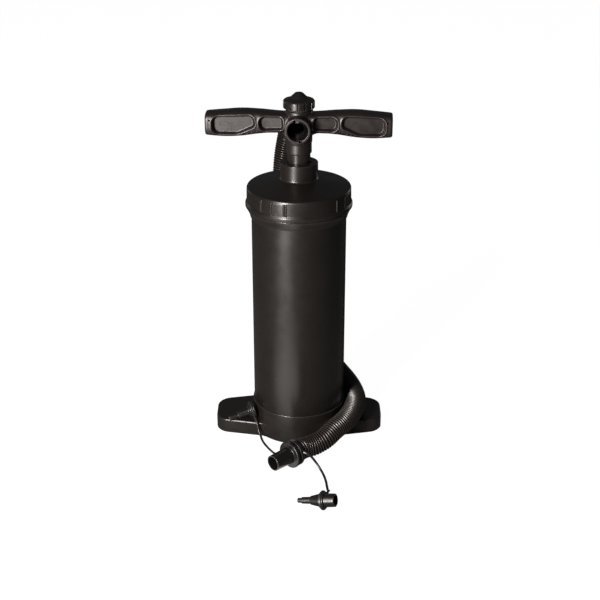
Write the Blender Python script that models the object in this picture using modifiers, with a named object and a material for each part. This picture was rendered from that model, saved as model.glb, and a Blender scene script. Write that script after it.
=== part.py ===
"""Double-action hand air pump with a T-handle, a corrugated hose and two tethered adaptors.

The origin is at the centre of the base's underside, +Z is up and the open front port faces -Y.
The model is in metres. Every number handed to the helpers is in millimetres, and they apply MM.
"""

import math

import bmesh
import bpy
from mathutils import Matrix, Vector

MM = 0.001
GAP = 0.3  # clearance between touching pieces

# Driving dimensions, in millimetres.
BARREL_R = 62.8
BARREL_WALL = 2.5
BARREL_TOP = 346.0
CUP_R = 64.3
CUP_TOP = 43.0
CUP_FLOOR = 5.0
FOOT_HALF_LENGTH = 116.0
FOOT_END_HALF_WIDTH = 28.5
FOOT_MIDDLE_HALF_WIDTH = 53.0
FOOT_CORNER_R = 20.0
FOOT_HEIGHT = 20.0
FOOT_WALL = 3.0
RIM_R = 68.5
BEAD_R = 70.6
CAP_TOP = 355.0
COLLAR_R = 25.0
COLLAR_TOP = 388.0
ROD_R = 15.0
ROD_BORE = 12.8
ROD_TOP = 412.0
INNER_ROD_R = 8.0
INNER_ROD_BORE = 6.4
PISTON_R = 57.0
SEAL_R = 59.9
PISTON_BOTTOM = 12.0
HUB_R = 17.4
HUB_BOTTOM = 400.3
HUB_TOP = 457.0
PORT_Z = 437.0
PORT_R = 16.4
PORT_BORE = 13.2
PORT_REACH = 31.0
GRIP_HALF_LENGTH = 119.5
GRIP_HALF_DEPTH = 15.5
POCKET_FLOOR = 9.5  # distance of a pocket's floor from the parting plane
HANDLE_TURN = math.radians(-3.0)
HOSE_R = 14.7
STRAP_R = 1.8

# Facets round the barrel and its fittings, round tubes and ports, and round small pieces.
ROUND_STEPS = 32
TUBE_STEPS = 24
SMALL_STEPS = 16
SHELL_SOLVER = "MANIFOLD"

# The handle's outline: (distance from the middle, height of its top and of its underside).
GRIP_OUTLINE = [
    (0.0, 453.4, 429.0),
    (24.0, 453.9, 428.8),
    (48.0, 456.0, 427.0),
    (75.0, 457.0, 423.2),
    (95.0, 455.4, 422.4),
    (GRIP_HALF_LENGTH, 453.0, 424.0),
]

# Middle line of the hose from the rear port, down behind the barrel and round to the front.
HOSE_ROUTE = [
    (3.1, 58.0, 437.0),
    (4.0, 75.0, 436.5),
    (3.5, 92.0, 433.0),
    (0.5, 110.0, 424.0),
    (-7.0, 124.5, 408.5),
    (-14.0, 132.5, 388.0),
    (-18.6, 134.5, 366.0),
    (-21.8, 133.5, 342.0),
    (-23.3, 130.0, 312.0),
    (-22.5, 124.5, 280.0),
    (-20.5, 118.5, 246.0),
    (-16.5, 112.5, 211.0),
    (-10.5, 107.0, 176.0),
    (-2.0, 102.5, 142.0),
    (11.0, 97.5, 109.5),
    (26.0, 89.0, 82.5),
    (41.5, 76.5, 63.0),
    (57.0, 60.0, 50.0),
    (70.0, 40.0, 42.5),
    (78.0, 16.0, 38.5),
    (80.0, -9.5, 36.8),
    (74.5, -34.5, 35.8),
    (63.0, -57.0, 33.3),
    (48.5, -74.5, 30.0),
    (35.2, -88.4, 24.2),
    (20.6, -97.0, 19.6),
    (6.6, -103.2, 18.7),
    (-0.7, -110.2, 18.7),
]

# Hose end: the flange's centre, the way the nozzle points, and the strap loop's place along that way.
FLANGE_CENTRE = Vector((-12.0, -121.0, 18.7))
NOZZLE_WAY = Vector((-0.722, -0.692, 0.0)).normalized()
LOOP_OFFSET = -8.0

# Middle lines of the two halves of the strap that ties the adaptors to the hose end.
LEFT_STRAP_ROUTE = [
    (-18.4, -101.3, 13.8),
    (-23.0, -98.0, 8.6),
    (-29.0, -95.0, 3.6),
    (-34.0, -90.5, 2.1),
    (-39.0, -83.0, 2.0),
    (-43.5, -75.0, 2.0),
    (-47.8, -66.0, 2.0),
    (-51.3, -57.0, 2.8),
    (-54.0, -49.8, 7.0),
    (-56.2, -46.0, 13.4),
    (-57.8, -44.2, 19.2),
    (-59.0, -41.2, 22.7),
    (-61.2, -36.4, 25.7),
]
RIGHT_STRAP_ROUTE = [
    (6.5, -127.3, 26.8),
    (11.0, -129.6, 25.6),
    (16.8, -129.9, 20.6),
    (23.5, -131.8, 12.0),
    (29.3, -138.0, 5.2),
    (33.2, -148.0, 2.4),
    (35.4, -160.0, 2.0),
    (36.4, -171.0, 2.0),
    (37.3, -181.0, 3.0),
    (38.2, -190.5, 8.0),
    (37.9, -199.3, 14.0),
    (35.2, -206.6, 14.4),
]

# Adaptors: where the wide end's face and the tip's face are centred.
SMALL_ADAPTOR_BACK = Vector((46.1, -224.4, 16.7))
SMALL_ADAPTOR_TIP = Vector((-1.0, -207.0, 4.7))
LARGE_ADAPTOR_BACK = Vector((-63.2, -25.7, 33.2))
LARGE_ADAPTOR_TIP = Vector((-97.2, -36.5, 24.9))

# Screws that close the handle: (distance from the middle, height, how far out the head lies).
SCREW_PLACES = [(24.2, 441.5, POCKET_FLOOR), (52.8, 441.3, 15.2), (114.3, 440.0, 14.9)]
SCREW_HEAD_R = 3.2
SCREW_HEAD_HEIGHT = 2.2
SCREW_SHANK_R = 1.5
SCREW_REACH = 6.0  # how far the shank enters the front shell

COLOURS = {
    "satin_black": ((0.030, 0.026, 0.025), 0.42),
    "handle_black": ((0.034, 0.028, 0.027), 0.48),
    "hose_black": ((0.028, 0.023, 0.022), 0.50),
    "soft_black": ((0.022, 0.019, 0.019), 0.60),
    "rod_grey": ((0.045, 0.038, 0.036), 0.35),
    "seal_rubber": ((0.018, 0.018, 0.018), 0.75),
    "white_acetal": ((0.72, 0.71, 0.68), 0.40),
    "zinc_steel": ((0.55, 0.56, 0.58), 0.32),
}
METALS = {"zinc_steel"}


# ---------------------------------------------------------------- helpers


def clear_scene():
    for item in list(bpy.data.objects):
        bpy.data.objects.remove(item, do_unlink=True)


def new_collection(name):
    group = bpy.data.collections.new(name)
    bpy.context.scene.collection.children.link(group)
    return group


def make_materials():
    made = {}
    for name, (colour, roughness) in COLOURS.items():
        mat = bpy.data.materials.new(name)
        mat.use_nodes = True
        shader = mat.node_tree.nodes["Principled BSDF"]
        shader.inputs["Base Color"].default_value = (*colour, 1.0)
        shader.inputs["Roughness"].default_value = roughness
        shader.inputs["Metallic"].default_value = 1.0 if name in METALS else 0.0
        made[name] = mat
    return made


def add_object(name, mesh, material=None, parent=None, cutter=False):
    """Links a mesh as a part, or as a hidden cutter."""
    item = bpy.data.objects.new(name, mesh)
    if cutter:
        CUTTERS.objects.link(item)
        item.hide_render = True
        item.display_type = "WIRE"
    else:
        PARTS.objects.link(item)
        own = MATERIALS[material].copy()
        own.name = name + "_" + material
        mesh.materials.append(own)
    item.parent = parent
    return item


def mesh_from(bm, name):
    mesh = bpy.data.meshes.new(name)
    bmesh.ops.recalc_face_normals(bm, faces=bm.faces)
    bm.to_mesh(mesh)
    bm.free()
    return mesh


def smooth(item, degrees=35.0):
    for face in item.data.polygons:
        face.use_smooth = True
    item.data.set_sharp_from_angle(angle=math.radians(degrees))


def frame_along(origin, way):
    """Matrix whose local Z runs along way, with its origin at origin (millimetres)."""
    turn = Vector((0, 0, 1)).rotation_difference(Vector(way).normalized()).to_matrix().to_4x4()
    return Matrix.Translation(Vector(origin) * MM) @ turn


def turned(name, profile, material=None, parent=None, place=None, steps=ROUND_STEPS, cutter=False):
    """A turned piece. The profile, (radius, height) pairs, runs down the outer side; it is a closed
    ring unless its first and last points lie on the axis."""
    mesh = bpy.data.meshes.new(name)
    points = [(r * MM, 0.0, z * MM) for r, z in profile]
    edges = [(i, i + 1) for i in range(len(points) - 1)]
    if profile[0][0] > 0:
        edges.append((len(points) - 1, 0))
    mesh.from_pydata(points, edges, [])
    item = add_object(name, mesh, material, parent, cutter)
    if place is not None:
        item.matrix_local = place
    screw = item.modifiers.new("turn", "SCREW")
    screw.axis = "Z"
    screw.steps = steps
    screw.render_steps = steps
    screw.use_merge_vertices = True
    screw.merge_threshold = 0.00001
    screw.use_smooth_shade = True
    return item


def ring(name, inner, outer, low, high, material, parent=None, place=None, steps=ROUND_STEPS):
    return turned(
        name, [(outer, high), (outer, low), (inner, low), (inner, high)], material, parent, place, steps
    )


def rod_cutter(name, radius, start, end, steps=SMALL_STEPS, parent=None):
    """A round cutter from start to end."""
    start, end = Vector(start), Vector(end)
    length = (end - start).length
    return turned(
        name,
        [(0, length), (radius, length), (radius, 0), (0, 0)],
        parent=parent,
        place=frame_along(start, end - start),
        steps=steps,
        cutter=True,
    )


def box(name, low, high, material=None, parent=None, cutter=False):
    bm = bmesh.new()
    bmesh.ops.create_cube(bm, size=1.0)
    size = [b - a for a, b in zip(low, high)]
    middle = [(a + b) / 2 for a, b in zip(low, high)]
    for vert in bm.verts:
        vert.co = Vector([(m + c * s) * MM for m, c, s in zip(middle, vert.co, size)])
    return add_object(name, mesh_from(bm, name), material, parent, cutter)


def rounded(corners, steps=5):
    """Outline through (x, y, corner radius) corners, with an arc at each corner that has a radius."""
    points = []
    count = len(corners)
    for i, (x, y, radius) in enumerate(corners):
        here = Vector((x, y))
        before = Vector(corners[i - 1][:2]) - here
        after = Vector(corners[(i + 1) % count][:2]) - here
        if radius <= 0:
            points.append(here)
            continue
        before.normalize()
        after.normalize()
        half = before.angle(after) / 2
        reach = radius / math.tan(half)
        centre = here + (before + after).normalized() * (radius / math.sin(half))
        first = here + before * reach - centre
        last = here + after * reach - centre
        sweep = first.angle_signed(last)
        for k in range(steps + 1):
            turn = Matrix.Rotation(-sweep * k / steps, 2)
            points.append(centre + turn @ first)
    return points


def prism(name, outline, low, high, upright=True, material=None, parent=None, cutter=False):
    """A flat outline made thick: in the XY plane from z low to high, or, when upright is False, drawn
    in XZ and running from y low to high."""
    flat = bpy.data.curves.new(name, "CURVE")
    flat.dimensions = "2D"
    flat.fill_mode = "BOTH"
    flat.extrude = (high - low) / 2 * MM
    spline = flat.splines.new("POLY")
    spline.points.add(len(outline) - 1)
    for point, (x, y) in zip(spline.points, outline):
        point.co = (x * MM, y * MM, 0.0, 1.0)
    spline.use_cyclic_u = True
    shape = bpy.data.objects.new(name + "_outline", flat)
    bpy.context.scene.collection.objects.link(shape)
    mesh = mesh_of_curve(shape)
    middle = (low + high) / 2 * MM
    if upright:
        mesh.transform(Matrix.Translation((0, 0, middle)))
    else:
        mesh.transform(Matrix.Translation((0, middle, 0)) @ Matrix.Rotation(math.radians(90), 4, "X"))
    return add_object(name, mesh, material, parent, cutter)


def mesh_of_curve(shape):
    """The welded mesh of a curve object, which is removed."""
    bpy.context.view_layer.update()
    evaluated = shape.evaluated_get(bpy.context.evaluated_depsgraph_get())
    mesh = bpy.data.meshes.new_from_object(evaluated)
    bm = bmesh.new()
    bm.from_mesh(mesh)
    bmesh.ops.remove_doubles(bm, verts=bm.verts, dist=0.000005)
    bmesh.ops.recalc_face_normals(bm, faces=bm.faces)
    bm.to_mesh(mesh)
    bm.free()
    curve = shape.data
    bpy.data.objects.remove(shape, do_unlink=True)
    bpy.data.curves.remove(curve)
    return mesh


def boolean(item, other, operation, solver):
    step = item.modifiers.new(operation.lower() + "_" + other.name, "BOOLEAN")
    step.operation = operation
    step.solver = solver
    step.object = other


def cut(item, *cutters, solver="EXACT"):
    for other in cutters:
        boolean(item, other, "DIFFERENCE", solver)


def join(item, *others, solver="EXACT"):
    for other in others:
        boolean(item, other, "UNION", solver)


def catmull(points, per_span):
    """Points on the smooth curve through points, per_span to each span."""
    pts = [Vector(p) for p in points]
    pts = [2 * pts[0] - pts[1]] + pts + [2 * pts[-1] - pts[-2]]
    out = []
    for i in range(1, len(pts) - 2):
        a, b, c, d = pts[i - 1 : i + 3]
        for k in range(per_span):
            t = k / per_span
            out.append(
                0.5 * (2 * b + (c - a) * t + (2 * a - 5 * b + 4 * c - d) * t**2)
                + 0.5 * (3 * b - a - 3 * c + d) * t**3
            )
    return out + [pts[-2]]


def flexible(name, route, radius, per_span, material):
    """A round flexible length along a smooth curve through the route."""
    curve = bpy.data.curves.new(name, "CURVE")
    curve.dimensions = "3D"
    curve.bevel_depth = radius * MM
    curve.bevel_resolution = 2
    curve.use_fill_caps = True
    points = catmull(route, per_span)
    spline = curve.splines.new("POLY")
    spline.points.add(len(points) - 1)
    for point, co in zip(spline.points, points):
        point.co = (*(co * MM), 1.0)
    own = MATERIALS[material].copy()
    own.name = name + "_" + material
    curve.materials.append(own)
    item = bpy.data.objects.new(name, curve)
    PARTS.objects.link(item)
    return item


def between(table, x, column):
    """Value of a column of the table at x, along straight lines between its rows."""
    for low, high in zip(table, table[1:]):
        if x <= high[0]:
            t = (x - low[0]) / (high[0] - low[0])
            return low[column] + (high[column] - low[column]) * t
    return table[-1][column]


# ---------------------------------------------------------------- base and barrel


def foot_outline():
    end, half, middle = FOOT_HALF_LENGTH, FOOT_END_HALF_WIDTH, FOOT_MIDDLE_HALF_WIDTH
    corners = [
        (end, half, FOOT_CORNER_R),
        (0, middle, 0),
        (-end, half, FOOT_CORNER_R),
        (-end, -half, FOOT_CORNER_R),
        (0, -middle, 0),
        (end, -half, FOOT_CORNER_R),
    ]
    return rounded(corners, 4)


def make_base():
    """One moulding: a cup for the barrel with a foot at each side, ribbed underneath."""
    below = -6.0
    base = prism("foot_base", foot_outline(), below, FOOT_HEIGHT, material="satin_black")
    soften = base.modifiers.new("soft_edges", "BEVEL")
    soften.width = 2.2 * MM
    soften.segments = 2
    soften.limit_method = "ANGLE"
    soften.angle_limit = math.radians(50)
    cup = turned(
        "cup_form",
        [
            (0, CUP_TOP),
            (CUP_R - 0.8, CUP_TOP),
            (CUP_R, CUP_TOP - 0.8),
            (CUP_R, below + 1.0),
            (0, below + 1.0),
        ],
        cutter=True,
    )
    # The exact solver loses the bevelled foot in this union.
    join(base, cup, solver="MANIFOLD")
    cut(base, box("ground", (-150, -100, below - 5), (150, 100, 0), cutter=True))
    hollow = rod_cutter("cup_hollow", BARREL_R + GAP, (0, 0, CUP_FLOOR), (0, 0, CUP_TOP + 5), ROUND_STEPS)
    cut(base, hollow)
    cut(base, *underside_pockets())
    return base


def underside_pockets():
    """Two by two pockets under each foot, with ribs between them."""
    rib = 2.5
    start, length, width = 68.0, 20.0, 20.0
    pockets = []
    for side in (-1, 1):
        for column in range(2):
            near = start + column * (length + rib)
            shrink = 2.5 * column
            for row in (-1, 1):
                xs = sorted((side * near, side * (near + length)))
                ys = sorted((row * rib / 2, row * (rib / 2 + width - shrink)))
                name = f"pocket_{'l' if side < 0 else 'r'}{column}{'f' if row < 0 else 'b'}"
                low = (xs[0], ys[0], -1.0)
                high = (xs[1], ys[1], FOOT_HEIGHT - FOOT_WALL)
                pockets.append(box(name, low, high, cutter=True))
    return pockets


def make_barrel():
    bottom = CUP_FLOOR + GAP + 2.0
    inner = BARREL_R - BARREL_WALL
    ring("base_gasket", inner - 1.0, BARREL_R - 0.3, CUP_FLOOR + GAP, bottom - GAP, "seal_rubber")
    ring("barrel", inner, BARREL_R, bottom, BARREL_TOP, "satin_black")


def make_cap():
    """The screw cap: a skirt over the barrel's mouth, a low cone and the collar that guides the rod."""
    inner = BARREL_R + 0.5
    wall_top = CAP_TOP - 2.5
    under_top = BARREL_TOP + 2.0 + 2 * GAP
    bush_hole = 18.2
    profile = [
        (COLLAR_R - 1.0, COLLAR_TOP),
        (COLLAR_R, COLLAR_TOP - 1.0),
        (COLLAR_R, 369.0),
        (COLLAR_R + 0.9, 366.9),
        (COLLAR_R + 3.0, 366.0),
        (RIM_R - 2.5, 357.6),
        (RIM_R - 0.7, 356.3),
        (RIM_R, wall_top + 1.0),
        (RIM_R + 0.4, 337.0),
        (BEAD_R - 0.2, 333.6),
        (BEAD_R, 331.0),
        (BEAD_R - 1.2, 327.6),
        (65.3, 320.5),
        (64.9, 319.8),
        (64.7, 315.5),
        (inner, 315.5),
        (inner, under_top),
        (60.0, under_top),
        (54.0, 353.0),
        (26.0, 358.0),
        (26.0, 352.0),
        (bush_hole, 352.0),
        (bush_hole, COLLAR_TOP - 2.5),
        (ROD_R + 0.8, COLLAR_TOP - 2.0),
        (ROD_R + 0.8, COLLAR_TOP),
    ]
    cap = turned("barrel_cap", profile, "satin_black")
    join(cap, grip_ribs())
    gasket_low = BARREL_TOP + GAP
    ring("cap_gasket", BARREL_R - BARREL_WALL - 0.2, BARREL_R, gasket_low, gasket_low + 2.0, "seal_rubber")
    return cap


def grip_ribs():
    """Raised bars and a raised panel, the same group four times round the cap's wall."""
    bm = bmesh.new()
    low, high = 336.5, 352.0
    bars = [(-45.0, 1.0), (-30.9, 0.8), (-28.6, 0.8), (-16.4, 0.8), (-14.1, 0.8)]
    for quarter in range(4):
        for angle, half_width in bars:
            matrix = (
                Matrix.Rotation(math.radians(angle + 90 * quarter), 4, "Z")
                @ Matrix.Translation((0, -(RIM_R - 0.3) * MM, (low + high) / 2 * MM))
                @ Matrix.Diagonal((2 * half_width * MM, 2.6 * MM, (high - low) * MM, 1.0))
            )
            bmesh.ops.create_cube(bm, size=1.0, matrix=matrix)
    return add_object("grip_ribs", mesh_from(bm, "grip_ribs"), cutter=True)


def make_rod_guide():
    """The bush in the collar and the lip seal under it."""
    profile = [
        (17.9, COLLAR_TOP - 2.9),
        (17.9, 351.6),
        (22.0, 351.6),
        (22.0, 349.0),
        (ROD_R + 0.35, 349.0),
        (ROD_R + 0.35, COLLAR_TOP - 2.9),
    ]
    turned("rod_bush", profile, "white_acetal")
    seal = [(21.0, 348.6), (21.0, 345.5), (17.5, 344.0), (ROD_R + 0.2, 344.0), (ROD_R + 0.2, 348.6)]
    turned("rod_seal", seal, "seal_rubber")


# ---------------------------------------------------------------- piston and rod


def make_piston(slider, handle):
    """Plates and body fixed to the rod, with a cup seal above and below them."""
    base = PISTON_BOTTOM
    hub = 21.0
    bore = INNER_ROD_R + GAP
    turned(
        "piston_plate",
        [(PISTON_R, base + 4.0), (PISTON_R, base), (bore, base), (bore, base + 4.0)],
        "white_acetal",
        handle,
    )
    body = [
        (hub, base + 38.0),
        (hub, base + 21.0),
        (58.0, base + 21.0),
        (58.0, base + 9.3),
        (hub + 1.0, base + 9.3),
        (hub + 1.0, base + 4.3),
        (bore, base + 4.3),
        (bore, base + 10.0),
        (ROD_R + GAP, base + 10.0),
        (ROD_R + GAP, base + 38.0),
    ]
    turned("piston_body", body, "white_acetal", handle)
    ring("piston_ring", hub + GAP, PISTON_R, base + 26.6, base + 30.4, "white_acetal", handle)
    lower_lip = [
        (SEAL_R, base + 9.0),
        (SEAL_R, base + 5.0),
        (SEAL_R - 2.5, base + 4.4),
        (hub + 1.3, base + 4.4),
        (hub + 1.3, base + 9.0),
    ]
    upper_lip = [
        (SEAL_R - 2.5, base + 26.3),
        (SEAL_R, base + 25.6),
        (SEAL_R, base + 21.4),
        (hub + GAP, base + 21.4),
        (hub + GAP, base + 26.3),
    ]
    turned("piston_seal_lower", lower_lip, "seal_rubber", slider)
    turned("piston_seal_upper", upper_lip, "seal_rubber", slider)
    nut_top, nut_bottom = base - GAP, base - 4.7
    nut = turned(
        "piston_nut",
        [(0, nut_top), (13.5, nut_top), (13.5, nut_bottom), (0, nut_bottom)],
        "zinc_steel",
        handle,
        steps=6,
    )
    cut(nut, rod_cutter("nut_bore", bore, (0, 0, nut_bottom - 2), (0, 0, nut_top + 2), 32, handle))
    ring("rod_tube_outer", ROD_BORE, ROD_R, base + 10.4, ROD_TOP, "rod_grey", handle)
    inner_low, inner_high = base - 5.2, ROD_TOP + 4
    ring("rod_tube_inner", INNER_ROD_BORE, INNER_ROD_R, inner_low, inner_high, "rod_grey", handle)


# ---------------------------------------------------------------- handle


def grip_form(name, parent):
    """Both grips as one soft-edged bar, lofted through rounded sections."""
    around = 16
    power = 2 / 3.4
    end = GRIP_HALF_LENGTH
    half_stations = [(end, 0.80), (end - 0.9, 0.93), (end - 3.0, 1.0)]
    half_stations += [(x, 1.0) for x in (100, 85, 70, 55, 40, 20)]
    stations = [(-x, scale) for x, scale in half_stations] + half_stations[::-1]
    bm = bmesh.new()
    rings = []
    for x, scale in stations:
        top = between(GRIP_OUTLINE, abs(x), 1)
        bottom = between(GRIP_OUTLINE, abs(x), 2)
        middle, half = (top + bottom) / 2, (top - bottom) / 2 * scale
        verts = []
        for k in range(around):
            angle = 2 * math.pi * (k + 0.5) / around
            c, s = math.cos(angle), math.sin(angle)
            y = GRIP_HALF_DEPTH * scale * math.copysign(abs(c) ** power, c)
            z = middle + half * math.copysign(abs(s) ** power, s)
            verts.append(bm.verts.new((x * MM, y * MM, z * MM)))
        rings.append(verts)
    for near, far in zip(rings, rings[1:]):
        for k in range(around):
            m = (k + 1) % around
            bm.faces.new((near[k], near[m], far[m], far[k]))
    bm.faces.new(rings[0])
    bm.faces.new(rings[-1])
    return add_object(name, mesh_from(bm, name), "handle_black", parent)


def gusset_outline():
    """The web under the grips, with a hollow curve on each side of the neck."""
    side, under, curve = 12.0, 428.3, 30.0
    corners = [(56, 440, 0), (56, under, 0), (side, under, curve), (side, under - curve, 0)]
    mirrored = [(-x, z, radius) for x, z, radius in reversed(corners)]
    return rounded(corners + mirrored, 6)


def pocket_outlines():
    """Outlines of the four recesses in a shell's face."""
    outer = [(55.0, 438.0, 6.0), (77.0, 427.6, 16.0), (110.0, 427.4, 8.5), (110.2, 450.0, 8.5), (57.0, 452.4, 9.8)]
    inner = [(19.6, 434.0, 4.0), (49.0, 432.2, 7.5), (50.6, 451.0, 8.0), (20.2, 450.4, 5.0)]
    result = []
    for name, corners in (("outer", outer), ("inner", inner)):
        for side, tag in ((1, "right"), (-1, "left")):
            placed = [(side * x, z, radius) for x, z, radius in corners]
            if side < 0:
                placed.reverse()
            result.append((name + "_" + tag, rounded(placed, 4)))
    return result


def hub_bore():
    """The stepped hollow of the hub: rod socket, valve chamber and knob socket."""
    return turned(
        "hub_bore",
        [
            (0, HUB_TOP + 5),
            (11.8, HUB_TOP + 5),
            (11.8, 452.6),
            (13.6, 452.6),
            (13.6, ROD_TOP + 1),
            (ROD_R + 0.35, ROD_TOP + 1),
            (ROD_R + 0.35, HUB_BOTTOM - 5),
            (0, HUB_BOTTOM - 5),
        ],
        cutter=True,
        steps=TUBE_STEPS,
    )


def make_handle_shell(name, side, handle, tools):
    """One half of the handle: side is -1 for the front shell and 1 for the rear one."""
    shell = grip_form(name, handle)
    # The exact solver leaves open edges where round forms, slots and parting plane cross in facets.
    join(shell, tools["hub"], tools["gusset"], tools["port"], solver=SHELL_SOLVER)
    cut(shell, tools["bore"], tools["port_bore"], tools["slots"], solver=SHELL_SOLVER)
    keep_out = sorted((-side * (PORT_REACH + 20), side * GAP / 2))
    parting = box(f"{name}_parting", (-150, keep_out[0], 380), (150, keep_out[1], 480), None, handle, True)
    cut(shell, parting, solver=SHELL_SOLVER)
    for tag, outline in pocket_outlines():
        ys = sorted((side * POCKET_FLOOR, side * (GRIP_HALF_DEPTH + 5)))
        pocket = prism(f"{name}_{tag}", outline, ys[0], ys[1], False, None, handle, True)
        cut(shell, pocket, solver=SHELL_SOLVER)
    for mirror in (-1, 1):
        for x_low, x_high, z_low, z_high in ((58.5, 106.5, 432.5, 449.5), (31.0, 46.5, 436.5, 449.0)):
            xs = sorted((mirror * x_low, mirror * x_high))
            ys = sorted((-side, side * (POCKET_FLOOR - 3.0)))
            low, high = (xs[0], ys[0], z_low), (xs[1], ys[1], z_high)
            label = f"{name}_hollow_{'l' if mirror < 0 else 'r'}{int(x_low)}"
            cut(shell, box(label, low, high, None, handle, True), solver=SHELL_SOLVER)
    return shell


def handle_tools(handle):
    """The forms that both shells are joined with and cut by."""
    hub = turned(
        "hub_form",
        [
            (0, HUB_TOP),
            (HUB_R - 1.0, HUB_TOP),
            (HUB_R, HUB_TOP - 1.0),
            (HUB_R, HUB_BOTTOM + 15.2),
            (HUB_R - 0.5, HUB_BOTTOM + 14.8),
            (HUB_R - 0.5, HUB_BOTTOM + 0.6),
            (HUB_R - 1.1, HUB_BOTTOM),
            (0, HUB_BOTTOM),
        ],
        parent=handle,
        cutter=True,
    )
    gusset = prism("gusset_form", gusset_outline(), -8.5, 8.5, False, None, handle, True)
    port = turned(
        "port_form",
        [
            (0, PORT_REACH),
            (PORT_R - 0.8, PORT_REACH),
            (PORT_R, PORT_REACH - 0.8),
            (PORT_R, -PORT_REACH + 0.8),
            (PORT_R - 0.8, -PORT_REACH),
            (0, -PORT_REACH),
        ],
        parent=handle,
        place=frame_along((0, 0, PORT_Z), (0, -1, 0)),
        steps=TUBE_STEPS,
        cutter=True,
    )
    reach = PORT_REACH + 5
    port_bore = rod_cutter(
        "port_bore", PORT_BORE, (0, -reach, PORT_Z), (0, reach, PORT_Z), TUBE_STEPS, parent=handle
    )
    bore = hub_bore()
    bore.parent = handle
    return {
        "hub": hub,
        "gusset": gusset,
        "port": port,
        "bore": bore,
        "port_bore": port_bore,
        "slots": bayonet_slots(handle),
    }


def bayonet_slots(handle):
    """Two opposite entry slots in the rim of each port."""
    bm = bmesh.new()
    for tilt in (15.0, 195.0):
        for side in (-1, 1):
            matrix = (
                Matrix.Translation((0, side * (PORT_REACH - 2.0) * MM, PORT_Z * MM))
                @ Matrix.Rotation(math.radians(-tilt), 4, "Y")
                @ Matrix.Translation((0, 0, (PORT_BORE + 0.6) * MM))
                @ Matrix.Diagonal((4.4 * MM, 8.0 * MM, 3.0 * MM, 1.0))
            )
            bmesh.ops.create_cube(bm, size=1.0, matrix=matrix)
    return add_object("bayonet_slots", mesh_from(bm, "bayonet_slots"), None, handle, True)


def make_handle(handle):
    tools = handle_tools(handle)
    front = make_handle_shell("grip_front", -1, handle, tools)
    rear = make_handle_shell("grip_rear", 1, handle, tools)
    number = 0
    for x, z, head_out in SCREW_PLACES:
        for side in (-1, 1):
            number += 1
            seat = head_out - SCREW_HEAD_HEIGHT - GAP
            spot = Vector((side * x, 0, z))
            pilot = rod_cutter(
                f"pilot_{number}",
                SCREW_SHANK_R + 0.25,
                spot + Vector((0, seat + 1, 0)),
                spot - Vector((0, SCREW_REACH + 1, 0)),
                12,
                handle,
            )
            sink = rod_cutter(
                f"sink_{number}",
                SCREW_HEAD_R + GAP,
                spot + Vector((0, seat, 0)),
                spot + Vector((0, GRIP_HALF_DEPTH + 4, 0)),
                16,
                handle,
            )
            cut(front, pilot, solver=SHELL_SOLVER)
            cut(rear, pilot, sink, solver=SHELL_SOLVER)
            make_screw(number, spot, head_out, handle)
    # Small moulding marks in the front face: one near each end and three under each web.
    for side in (-1, 1):
        for x, z in ((113.4, 445.0), (54.5, 431.5), (60.6, 429.6), (66.4, 428.6)):
            label = f"mark_{'l' if side < 0 else 'r'}{int(x)}"
            start = Vector((side * x, -GRIP_HALF_DEPTH - 2, z))
            mark = rod_cutter(label, 1.1, start, start + Vector((0, 4.5, 0)), 8, handle)
            cut(front, mark, solver=SHELL_SOLVER)
    make_valve(handle)


def make_screw(number, spot, head, handle):
    seat = head - SCREW_HEAD_HEIGHT
    profile = [
        (0, head - 1.3),
        (1.2, head),
        (SCREW_HEAD_R - 0.9, head),
        (SCREW_HEAD_R, head - 0.9),
        (SCREW_HEAD_R, seat),
        (SCREW_SHANK_R, seat),
        (0, -SCREW_REACH),
    ]
    turned(
        f"handle_screw_{number}",
        profile,
        "zinc_steel",
        handle,
        frame_along(spot, (0, 1, 0)),
        steps=10,
    )


def make_valve(handle):
    """The cartridge inside the hub, with a seat plate for each check flap."""
    cage = [
        (13.3, 452.2),
        (13.3, ROD_TOP + 5),
        (11.3, ROD_TOP + 5),
        (11.3, 424.0),
        (6.0, 424.0),
        (6.0, 426.0),
        (11.3, 426.0),
        (11.3, 444.5),
        (6.0, 444.5),
        (6.0, 446.5),
        (11.3, 446.5),
        (11.3, 452.2),
    ]
    cartridge = turned("valve_cartridge", cage, "satin_black", handle, steps=TUBE_STEPS)
    cut(cartridge, rod_cutter("cartridge_window", 7.5, (0, -20, 435.5), (0, 20, 435.5), SMALL_STEPS, handle))


def make_knob(knob):
    """The screw knob over the valve chamber and its sealing ring."""
    top = 480.0
    profile = [
        (0, top),
        (3.0, top - 0.6),
        (6.3, top - 2.2),
        (9.0, top - 4.0),
        (11.0, top - 5.7),
        (12.6, top - 7.6),
        (15.5, top - 8.8),
        (18.3, top - 9.8),
        (19.8, top - 11.0),
        (20.4, top - 12.6),
        (20.4, 460.6),
        (19.8, 460.0),
        (11.4, 460.0),
        (11.4, 453.4),
        (9.4, 453.4),
        (9.4, 468.0),
        (0, 468.0),
    ]
    flutes = 14
    cap = turned("valve_knob", profile, "satin_black", knob, steps=2 * flutes)
    bm = bmesh.new()
    for k in range(flutes):
        matrix = (
            Matrix.Rotation(2 * math.pi * (k + 0.5) / flutes, 4, "Z")
            @ Matrix.Translation((21.0 * MM, 0, 464.4 * MM))
            @ Matrix.Diagonal((1.0, 1.6, 1.0, 1.0))
        )
        bmesh.ops.create_cone(
            bm,
            cap_ends=True,
            segments=6,
            radius1=1.3 * MM,
            radius2=1.3 * MM,
            depth=12.6 * MM,
            matrix=matrix,
        )
    cut(cap, add_object("knob_flutes", mesh_from(bm, "knob_flutes"), None, knob, True))
    ring("knob_seal", 12.2, 15.6, HUB_TOP + GAP, 460.0 - GAP, "seal_rubber", knob, steps=TUBE_STEPS)


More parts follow.
